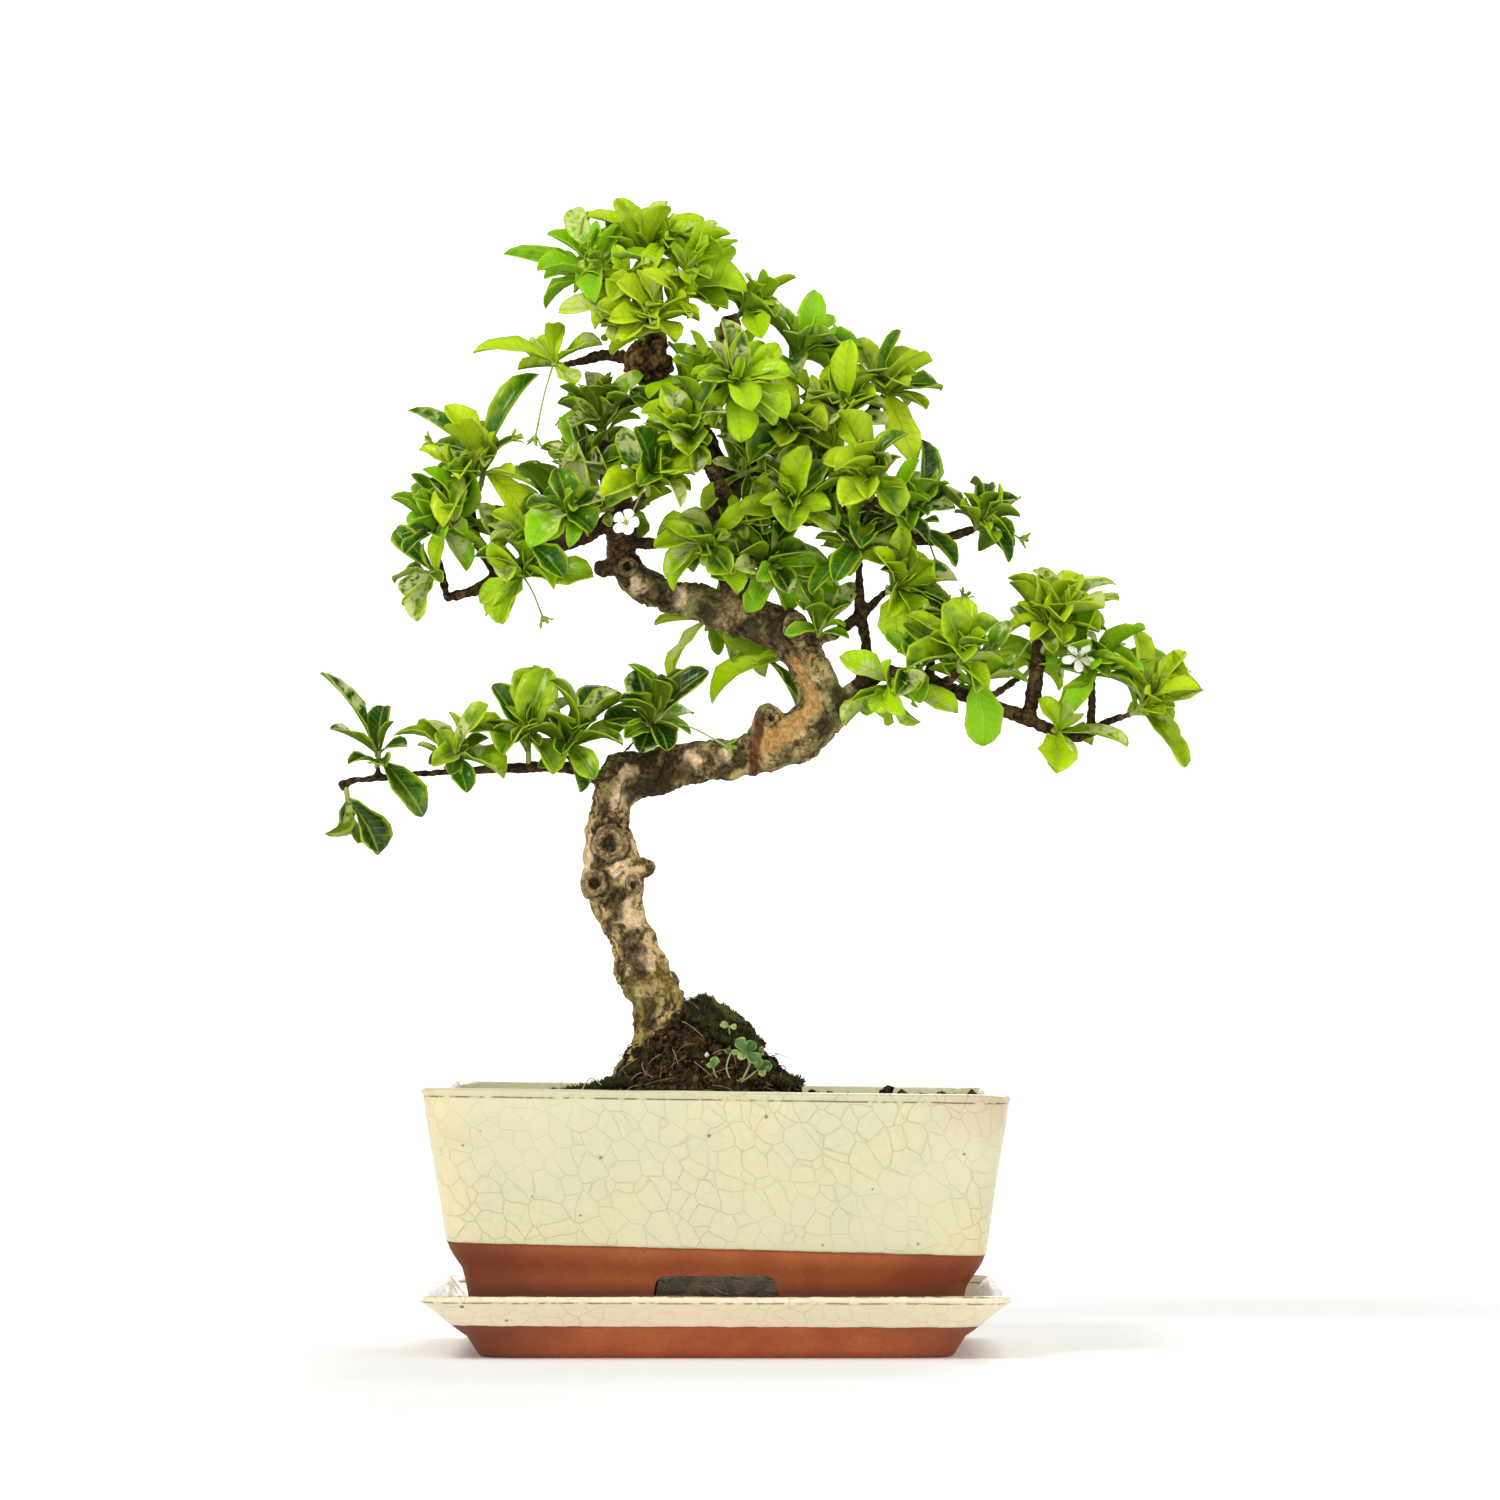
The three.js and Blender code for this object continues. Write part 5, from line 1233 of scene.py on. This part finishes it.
def stalk_line(shoot, end, facing=None):
    """A thin stalk that swells to a bud, or to the cup of a flower, at its end."""
    start = Vector(shoot[1]).lerp(Vector(shoot[2]), 0.85)
    heading = (Vector(facing) if facing else end - start).normalized()
    neck = end - heading * 2.6
    middle = start.lerp(neck, 0.5) + Vector((0, 0, 0.08 * (end - start).length))
    thin = eased_line([(*start, 0.8), (*middle, 0.6), (*neck, 0.75)])
    swell = [(0.4, 1.3), (0.9, 2.1), (1.4, 2.5), (1.9, 2.2), (2.3, 1.5), (2.6, 0.5)]
    return thin + [(*(neck + heading * far), thick) for far, thick in swell]


# %% [markdown]
# Leaves of this plant are glossy above and dull below. The midrib, the side veins and the margin are
# paler, and some leaves carry washed-out patches, which also serve as painted highlights. Light also
# shines through them, which is why leaves seen against the light look brighter than those lit from the
# front.

# %% Foliage and green stems
def foliage(name, deep, light):
    """A leaf's finish, mixed from the colour of its oldest and its youngest leaves."""
    made = Finish(name, Coat_Roughness=0.13, IOR=1.4, Specular_IOR_Level=0.1)
    across, along = made.mark("across"), made.mark("along")
    below, tone = made.mark("under"), made.mark("tone")
    patchy = 0.5 * (made.clouds(70, 3) - 0.5) + 0.6 * (made.clouds(210, 4) - 0.5)
    shade = tone + patchy + 0.24 * (abs(across) - 0.5) + 0.14 * (along - 0.5)
    body = made.mix(shade.step(0.2, 0.9), tint(deep), tint(light))
    # Washed-out pale patches, which also stand in as painted highlights
    pale_patch_and_highlight = made.clouds(90, 4).step(0.47, 0.56) * made.clouds(420, 4).step(0.36, 0.5)
    body = made.mix(pale_patch_and_highlight * (0.06 + 0.74 * made.mark("cream")), body, tint("#E2E49A"))
    ribs = abs((along * 8 - abs(across) * 1.6).fraction() - 0.5).step(0.1, 0.01)
    body = made.mix(ribs * 0.24, body, tint("#BCD838"))
    midrib = abs(across).step(0.12, 0.04)
    body = made.mix(midrib * 0.42, body, tint("#C4DC44"))
    body = made.mix(abs(across).step(0.76, 0.96) * 0.7, body, tint("#C4DC34"))
    body = made.mix(along.step(0.12, 0) * 0.5, body, tint("#B9CC50"))
    body = made.mix(below * 0.5, body, tint("#7F9C1C"))
    made.colour(body)
    made.rough(0.36 + 0.3 * below + 0.14 * made.clouds(300, 2))
    made.feed(made.skin.inputs["Coat Weight"], 0.36 * (1 - below) * (1 - tone * 0.4))
    made.bump(0.8 * made.clouds(260, 3) - 0.5 * ribs - 0.8 * midrib, 0.26 * MM)
    glow = made.tree.nodes.new("ShaderNodeBsdfTranslucent")
    glow.inputs["Color"].default_value = tint("#A5CC04")
    both = made.tree.nodes.new("ShaderNodeMixShader")
    both.inputs["Fac"].default_value = 0.2
    made.tree.links.new(made.skin.outputs["BSDF"], both.inputs[1])
    made.tree.links.new(glow.outputs["BSDF"], both.inputs[2])
    made.tree.links.new(both.outputs["Shader"], made.tree.nodes["Material Output"].inputs["Surface"])
    return made


foliages = (
    foliage("leaf_bright", "#1A5602", "#C4EA10"), foliage("leaf_mid", "#104602", "#B8E60C"),
    foliage("leaf_dark", "#083206", "#90D20E"), foliage("leaf_young", "#286804", "#D2EC1C"),
)
green = Finish("green_stem", IOR=1.45)
stem_body = green.mix(green.clouds(260, 3), tint("#86A23C"), tint("#A9BC5E"))
green.colour(green.mix(green.clouds(90, 2).step(0.5, 0.65) * 0.6, stem_body, tint("#8A6A42")))
green.rough(0.5 + 0.2 * green.clouds(500, 2))
green.bump(green.clouds(1200, 2), 0.1 * MM)


# %% [markdown]
# Each bud sits in a star of five small sepals. They are leaves too, only tiny, so the same leaf serves.

# %% Grow every shoot
def calyx(shape, layers, end, heading, reach, seed):
    """Five small sepals round the end of a stalk."""
    for turn in range(5):
        out = round_stem(heading, turn * 2 * math.pi / 5)
        root = end - heading * 1.6 + out * 0.9
        tip = root + reach * (heading * 0.75 + out * 0.66)
        add_leaf(shape, layers, [root, tip, reach * 0.4, heading, 0.3, 0.05, 1], seed + turn, young=0.3)


def grown(shape, name, slot, node, finish):
    """Finishes a shape with leaves as the piece that stands for a CAD node."""
    made = finished(shape, name, finish, green, smooth=False)
    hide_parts(node)
    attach(made, "root")
    return sum(len(face.vertices) - 2 for face in made.data.polygons)


MARKS = ("across", "along", "tone", "under", "cream")
# Leaves along a side stem, and in the tuft at its end
SPRIG_LEAVES = (11, 3)
foliage_triangles = []
for number, shoot in enumerate(SHOOTS):
    name, start, end = shoot[:3]
    growth = bmesh.new()
    layers = {mark: growth.verts.layers.float.new(mark) for mark in MARKS}
    blades = [*kept_leaves[number], *sprig(start, end, *leaf_counts(name), 77003 + number * 41)]
    stems = [(start, end)]
    for i, (root, tip) in enumerate(SPRIGS.get(name, [])):
        blades += sprig(root, tip, *SPRIG_LEAVES, 91009 + number * 43 + i)
        stems.append((root, tip))
    lit = next((light for start_of_name, light in BRIGHTNESS if name.startswith(start_of_name)), 0)
    for i, leaf in enumerate(blades):
        add_leaf(growth, layers, leaf, number * 997 + i * 13 + 5, young=lit)
    stalks = [(Vector(bud), None) for bud in shoot[5]]
    for i, (bud, _) in enumerate(stalks):
        calyx(growth, layers, bud, (bud - Vector(end)).normalized(), 3.2, number * 31 + i)
    for _, owner, centre, facing, _ in BLOOMS:
        if owner == name:
            stalks.append((Vector(centre) - Vector(facing).normalized() * 0.35, facing))
    thicken(growth, layers)
    lines = [
        eased_line([(*root, 2), (*Vector(root).lerp(Vector(tip), 0.5), 2), (*tip, 1.5)], 4)
        for root, tip in stems
    ]
    lines += [stalk_line(shoot, bud, facing) for bud, facing in stalks]
    add_tubes(growth, lines, 7)
    slot = LEAF_SLOTS[number % 4]
    node = "shoot_" + name
    foliage_triangles.append(grown(growth, node + "_leaves", slot, node, foliages[number % 4]))
print("triangles in all shoots:", sum(foliage_triangles), "at most", max(foliage_triangles))

# %% [markdown]
# The two open flowers have five petals each, set round a short throat with five stamens. The left one is
# round and full, and the right one is a star with narrow petals. A petal is the same grid as a leaf, only
# wide and thin, so it can use the same function.

# %% The flowers
petal = Finish("petal", Roughness=0.5, IOR=1.4)
pale_vein = abs((petal.mark("across") * 3).fraction() - 0.5).step(0.12, 0.02) * 0.12
petal_body = petal.mix(petal.mark("along").step(0.3, 0.02) * 0.6, tint("#FCFBF6"), tint("#DCE3A8"))
petal.colour(petal.mix(pale_vein, petal_body, tint("#DDE0D0")))
petal.rough(0.45 + 0.15 * petal.clouds(600, 2))
petal.bump(petal.clouds(500, 2), 0.06 * MM)
anther = Finish("anther", Roughness=0.6)
anther.colour(anther.mix(anther.clouds(1500, 3), tint("#D9C36A"), tint("#F1E9B4")))


def flower(bloom, narrow):
    """Petals, throat and stamens of one open flower."""
    name, _, centre, facing, across = bloom
    shape = bmesh.new()
    layers = {mark: shape.verts.layers.float.new(mark) for mark in MARKS}
    centre, facing = Vector(centre), Vector(facing).normalized()
    reach = across / 2 * 1.02
    for number in range(5):
        out = round_stem(facing, number * 2 * math.pi / 5 + 0.2)
        root = centre + out * 0.5 + facing * 0.25
        tip = centre + out * reach + facing * (0.12 * across + 0.35)
        add_leaf(shape, layers, [root, tip, reach * narrow, facing, -0.12, -0.04, 1], 601 + number)
    thicken(shape, layers)
    parts = [([(*(centre - facing * 1.2), 1.2), (*centre, 1.7), (*(centre + facing * 0.5), 2)], 1)]
    for number in range(5):
        out = round_stem(facing, number * 2 * math.pi / 5 + 0.8)
        foot = centre + facing * 0.4 + out * 0.5
        head = foot + facing * 1.7 + out * 0.9
        parts.append((eased_line([(*foot, 0.3), (*head, 0.26)], 3), 0))
        parts.append(([(*head, 0.3), (*(head + facing * 0.35), 0.75), (*(head + facing * 0.8), 0.3)], 2))
    for line, material in parts:
        add_tubes(shape, [line], 8, material)
    made = finished(shape, name + "_petals", petal, green, anther, smooth=False)
    return dressed(made, name)


for bloom, narrow in zip(BLOOMS, (0.95, 0.66)):
    flower(bloom, narrow)

# %% [markdown]
# The soil is dark peat held together by fine roots. A copy of the CAD soil is rebuilt from small squares
# and roughened on top. Crumbs and root fibres then lie on it as real geometry, since a smooth mound with
# a rough colour would look like clay. Crumbs are cheap balls of twenty faces, each pushed out of shape.


# %% Things strewn on a surface
def strewn(piece, count, seed, keep):
    """Places and normals on a mesh, chosen by seeded draws among the faces that keep() likes."""
    faces = [face for face in piece.data.polygons if keep(face.center / MM, face.normal)]
    draw = draws(seed)
    for _ in range(count):
        face = faces[int(next(draw) * len(faces))]
        yield face.center.copy(), face.normal.copy(), [next(draw) for _ in range(4)]


def add_crumb(shape, layer, place, radius, value, seed):
    """A small rough lump."""
    lump = bmesh.ops.create_icosphere(
        shape, subdivisions=1, radius=radius * MM, matrix=Matrix.Translation(place)
    )["verts"]
    for spot in lump:
        spot.co += (spot.co - place) * 0.6 * noise.noise((spot.co + Vector((seed, 0, 0))) * 900)
        spot[layer] = value


def add_fibre(shape, layer, place, normal, way, length, thick, value):
    """A fine root that lies on a surface and bows away from it."""
    side = (way - normal * way.dot(normal)).normalized()
    spots = [
        place / MM + side * length * (share - 0.5) + normal * (0.5 + 4 * high * share * (1 - share))
        for share, high in ((0, 0), (0.35, length * 0.13), (0.7, length * 0.16), (1, 0))
    ]
    before = set(shape.verts)
    tube(shape, eased_line([(*spot, thick) for spot in spots], 2), 5)
    for spot in set(shape.verts) - before:
        spot[layer] = value


def joined_in(shape, part):
    """Adds one bmesh to another, and frees it."""
    between = bpy.data.meshes.new("between")
    part.to_mesh(between)
    part.free()
    shape.from_mesh(between)
    bpy.data.meshes.remove(between)


def roughened(piece, push):
    """Moves each point by push(place, normal), in millimetres."""
    moved = []
    for point in piece.data.vertices:
        moved.extend(point.co + push(point.co, point.normal) * MM)
    piece.data.vertices.foreach_set("co", moved)
    piece.data.update()
    return piece


def soil_push(spot, normal):
    """Lumps on the mound and the level soil, and nothing where the soil touches the pot."""
    free = eased(spot.z / MM, 84, 87)
    on_mound = eased(spot.z / MM, 87, 91)
    lumps = noise.noise(spot * 110) * 2 + noise.noise(spot * 280) * 1.5 + noise.noise(spot * 650) * 1.1
    away = (normal * on_mound + Vector((0, 0, 1)) * (1 - on_mound)).normalized()
    return away * lumps * free * (0.55 + 0.45 * on_mound)


# Above this height the soil is the mound, and below it the level bed
MOUND_FOOT = 89


def mound_face(at, up):
    """Whether a face lies on the mound and looks up."""
    return at.z > MOUND_FOOT and up.z > 0.1


def level_face(at, up):
    """Whether a face lies on the level soil."""
    return 85 < at.z < MOUND_FOOT and up.z > 0.7


SOIL_SQUARE = 1.2
MOUND_CRUMBS, LEVEL_CRUMBS, FIBRES = 680, 420, 75
soil = roughened(evened(copied("soil", "soil_mound"), SOIL_SQUARE * MM, 2), soil_push)
soil_surface = surface_of(soil)
shape = bmesh.new()
shape.from_mesh(soil.data)
for spot in shape.verts:
    spot.co.x *= 0.997
    spot.co.y *= 0.997
shape.verts.layers.float.new("grain")
heap = bmesh.new()
heap_grain = heap.verts.layers.float.new("grain")
for i, (place, normal, draw) in enumerate(strewn(soil, MOUND_CRUMBS, 11, mound_face)):
    add_crumb(heap, heap_grain, place, 0.45 + 1.1 * draw[0] ** 2, 0.62 * draw[1] ** 1.5, i)
for i, (place, normal, draw) in enumerate(strewn(soil, LEVEL_CRUMBS, 12, level_face)):
    add_crumb(heap, heap_grain, place, 0.6 + 1.5 * draw[0] ** 2, 0.1 + 0.5 * draw[1], i)
for place, normal, draw in strewn(soil, FIBRES, 13, mound_face):
    way = Vector((draw[0] - 0.5, draw[1] - 0.5, 0.5 * (draw[2] - 0.5)))
    length, thick, value = 4 + 8 * draw[3], 0.24 + 0.16 * draw[0], 0.6 + 0.25 * draw[1]
    add_fibre(heap, heap_grain, place, normal, way, length, thick, value)
# Pale bits and lumps that stand out on the front: x, y, z, radius and how pale
LUMPS = [
    (-3.5, -21.5, 102, 1.1, 1), (-4.5, -22.5, 99.5, 1, 1), (-24, -23, 93.5, 0.8, 1),
    (-11, -22, 100, 0.6, 0.9),
    (59.6, 0, 89.6, 2.2, 0.2), (58.2, 1, 88.6, 1.6, 0.3), (28, -2, 90.4, 1.8, 0.3), (33, 0, 88.8, 1.5, 0.2),
    (24, -6, 92.5, 1.7, 0.3), (-44, 2, 90, 1.5, 0.4), (2, -26, 94, 1.4, 0.3), (14, -22, 93, 1.6, 0.2),
]
for i, (x, y, z, radius, value) in enumerate(LUMPS):
    add_crumb(heap, heap_grain, Vector((x, y, z)) * MM, radius, value, i)
joined_in(shape, heap)
shape.to_mesh(soil.data)
shape.free()
peat = Finish("peat", Roughness=0.95, Specular_IOR_Level=0.1)
coarse = peat.clouds(140, 4, roughness=0.7)
fine = peat.clouds(520, 5, roughness=0.75)
earth = peat.mix(fine.step(0.44, 0.58), tint("#040302"), tint("#4C3922"))
earth = peat.mix(coarse.step(0.52, 0.64) * 0.5, earth, tint("#57411F"))
earth = peat.mix(peat.clouds(240, 4, roughness=0.7).step(0.5, 0.4) * 0.6, earth, tint("#070503"))
earth = peat.mix(peat.clouds(70, 3).step(0.55, 0.7) * 0.5, earth, tint("#2B2A14"))
bits = peat.mark("grain")
earth = peat.mix(bits * 0.6, earth, peat.mix(fine.step(0.4, 0.62), tint("#130C06"), tint("#94784E")))
earth = peat.mix(bits.step(0.5, 0.8) * 0.8, earth, tint("#B09A70"))
earth = peat.mix(bits.step(0.88, 0.98) * 0.9, earth, tint("#DAD2C4"))
peat.colour(earth)
peat.bump(fine * 0.6 + peat.clouds(1400, 3) * 0.4, 0.8 * MM)
soil.data.materials.append(peat.material)
dressed(soil, "soil")

# %% [markdown]
# Moss is thousands of tiny plants. The cushion itself comes from the CAD moss, with billows added, and
# its plush look comes from many short pointed leaflets that stand up all over it. A few loose cushions
# grow further left, near the rim.

# %% Moss
def moss_push(spot, normal):
    """Billows, as moss grows in cushions."""
    billow = 0.5 - abs(noise.noise(spot * 230)) * 2
    return normal * (1.1 * billow + 0.8 * noise.noise(spot * 520) - 0.1)


MOSS_SQUARE = 0.75
LEAFLETS = 2200
moss = evened(copied("moss", "moss_cushion"), MOSS_SQUARE * MM, 2)
settled = []
for point in moss.data.vertices:
    settled.extend(soil_surface.find_nearest(point.co)[0].lerp(point.co, 0.5))
moss.data.vertices.foreach_set("co", settled)
moss.data.update()
roughened(moss, moss_push)
heap = bmesh.new()
heap.from_mesh(moss.data)
heap.verts.layers.float.new("tip")
# Loose cushions: x, y, z, radius and height
CUSHIONS = [
    (-46.5, 0, 88, 5.4, 3.4), (-39.5, -4, 90, 4, 3), (-52, -2, 87.5, 3.6, 2.6), (-42, 6, 89, 4.6, 3.2),
    (-57, 2, 87.2, 2.8, 2.2), (-35, -14, 92, 3.4, 2), (-30, -22, 92, 3.2, 2), (22, -16, 92, 3.6, 2.2),
    (-27, -18, 96, 3, 1.8), (12, 18, 96, 6, 3), (-30, 22, 94, 6, 3), (26, 6, 92, 4.4, 2.6),
]
for x, y, z, radius, height in CUSHIONS:
    turn = Matrix.Translation(Vector((x, y, z)) * MM) @ Matrix.Diagonal((1, 1, height / radius, 1))
    ball = bmesh.ops.create_icosphere(heap, subdivisions=4, radius=radius * MM, matrix=turn)["verts"]
    for spot in ball:
        out = (spot.co - Vector((x, y, z)) * MM).normalized()
        spot.co += out * (0.5 * noise.noise(spot.co * 350) + 0.3 * noise.noise(spot.co * 800)) * MM
for face in heap.faces:
    face.smooth = True
heap.to_mesh(moss.data)
moss.data.update()
leaflets = bmesh.new()
leaflet_tip = leaflets.verts.layers.float.new("tip")
for place, normal, draw in strewn(moss, LEAFLETS, 21, lambda at, up: up.z > -0.1):
    way = (normal + 0.7 * Vector((draw[0] - 0.5, draw[1] - 0.5, draw[2] - 0.2))).normalized()
    high = (0.9 + 1.1 * draw[3]) * MM
    turn = Matrix.Translation(place + way * high * 0.4) @ way.to_track_quat("Z", "Y").to_matrix().to_4x4()
    leaflet = bmesh.ops.create_cone(
        leaflets, cap_ends=True, segments=4, radius1=0.3 * MM, radius2=0.02 * MM, depth=high, matrix=turn
    )["verts"]
    for spot in leaflet:
        spot[leaflet_tip] = 0.35 + 0.5 * draw[0] + (0.3 if (spot.co - place).length > high * 0.6 else 0)
joined_in(heap, leaflets)
heap.to_mesh(moss.data)
heap.free()
plush = Finish("moss", Roughness=0.95, Specular_IOR_Level=0.1)
tips = plush.mark("tip")
growth_shade = plush.mix(plush.clouds(260, 4).step(0.35, 0.65), tint("#0A0D06"), tint("#373E1C"))
growth_shade = plush.over(
    growth_shade, (plush.clouds(60, 3).step(0.5, 0.65) * 0.55, "#6A6C2C"),
    (plush.clouds(130, 4).step(0.43, 0.54) * 0.9, "#24180C"),
)
tip_shade = plush.mix(plush.clouds(50, 2), tint("#3E4A1A"), tint("#8C8C3A"))
plush.colour(plush.mix(tips * 0.45, growth_shade, tip_shade))
plush.bump(plush.clouds(1300, 4), 0.5 * MM)
moss.data.materials.append(plush.material)
dressed(moss, "moss")

# %% [markdown]
# A clover-like seedling and a few other weeds have come up on the front of the mound. Their leaves are
# round and blue-green, and they stand on pale bent stems.

# %% Weeds on the mound
weed_leaf = foliage("seedling_leaf", "#2F6640", "#A4C282")
pale_stem = Finish("pale_stem", IOR=1.4)
pale_stem.colour(pale_stem.mix(pale_stem.clouds(300, 3), tint("#9DB070"), tint("#D5D6AC")))
pale_stem.rough(0.5 + 0.2 * pale_stem.clouds(500, 2))
# Stems: root, middle and end, then the leaves at the end, each with its reach and its way out
WEEDS = [
    ((6, -25, 91.5), (3.4, -28, 97.5), (4.8, -28.6, 103), [(2.6, (1, -0.2, 0.1)), (2.2, (-0.7, -0.3, 0.5))]),
    ((8, -24, 92.5), (11, -28, 98), (10.4, -28.8, 103.4), [
        (5.6, (-0.75, -0.25, 0.75)), (5.8, (0.5, -0.3, -0.5)), (4.6, (0.55, -0.2, 0.75)),
        (3.8, (-0.6, -0.3, -0.5)),
    ]),
    ((8, -24, 92.5), (11.5, -27, 95), (14.4, -27.4, 97.4), [
        (4.8, (0.95, -0.2, 0.35)), (4.2, (-0.1, -0.3, 0.9)), (3.4, (0.5, -0.4, -0.6)),
    ]),
    ((2, -25, 92), (-0.5, -27, 95.5), (-1.2, -27, 98), [(3.8, (0.2, -0.2, 1)), (2.4, (-0.8, -0.3, 0.5))]),
    ((2, -25, 93), (4.5, -26.5, 94), (7.4, -27, 93.4), [(1.8, (0.9, -0.3, 0.2))]),
    ((9, -24, 94), (12.5, -26, 101), (14.6, -26.6, 103), [(2.4, (0.6, -0.2, 0.7)), (1.8, (0.8, -0.2, -0.2))]),
]
# One more stands on the moss, so its foot is looked up there
ledge = surface_of(moss).find_nearest(Vector((5.5, -16, 112)) * MM)[0] / MM
steps = [ledge + Vector(step) for step in ((0, 0.6, -1), (-0.3, -1.2, 1), (-0.1, -1.8, 1.8))]
WEEDS.append((*steps, [(3.2, (-0.9, -0.3, 0.25)), (2.6, (0.8, -0.3, -0.1))]))
print("the small weed on the moss stands at", [round(x) for x in ledge])
weeds = bmesh.new()
layers = {mark: weeds.verts.layers.float.new(mark) for mark in MARKS}
for number, (_, _, end, leaves) in enumerate(WEEDS):
    for i, (reach, way) in enumerate(leaves):
        way = Vector(way).normalized()
        root = Vector(end)
        blade = [root, root + way * reach, reach * 0.95, Vector((0.2, -1, 0.45)), 0.1, 0.04, 0.4]
        add_leaf(weeds, layers, blade, 4001 + number * 17 + i, young=0.1)
thicken(weeds, layers)
lines = [eased_line([(*root, 0.7), (*middle, 0.55), (*end, 0.45)], 6) for root, middle, end, _ in WEEDS]
lines.append([(8, -23, 91, 1.6), (8, -23, 92.4, 1.4), (8, -23.6, 93.4, 0.8)])
lines.append(eased_line([(-54, -4, 88, 0.5), (-54.6, -5, 91, 0.4), (-53.6, -5, 93.6, 0.25)], 5))
lines.append(eased_line([(-47, -6, 90, 0.5), (-44, -7, 94, 0.45), (-40, -8, 91.5, 0.4)], 6))
add_tubes(weeds, lines, 7)
seedling = finished(weeds, "seedling_weeds", weed_leaf, pale_stem, smooth=False)
dressed(seedling, "seedling")

# %% [markdown]
# The two nets under the soil stay as the CAD model has them, because nobody sees them. They still need a
# finish of their own: dull green plastic.

# %% The drain screens
net = Finish("net_plastic", IOR=1.46)
net.colour(net.mix(net.clouds(300, 3), tint("#1E2A20"), tint("#2F3D30")))
net.rough(0.55 + 0.2 * net.clouds(900, 2))
for name in ("screen_left", "screen_right"):
    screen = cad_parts[name]
    screen.data.materials.clear()
    screen.data.materials.append(net.material)
print("screens:", net.material.name)

# %% [markdown]
# Last, the box round the CAD model is written down.

# %% The box round the CAD model
print("CAD box", [[round(x, 4) for x in v] for v in cad_box])
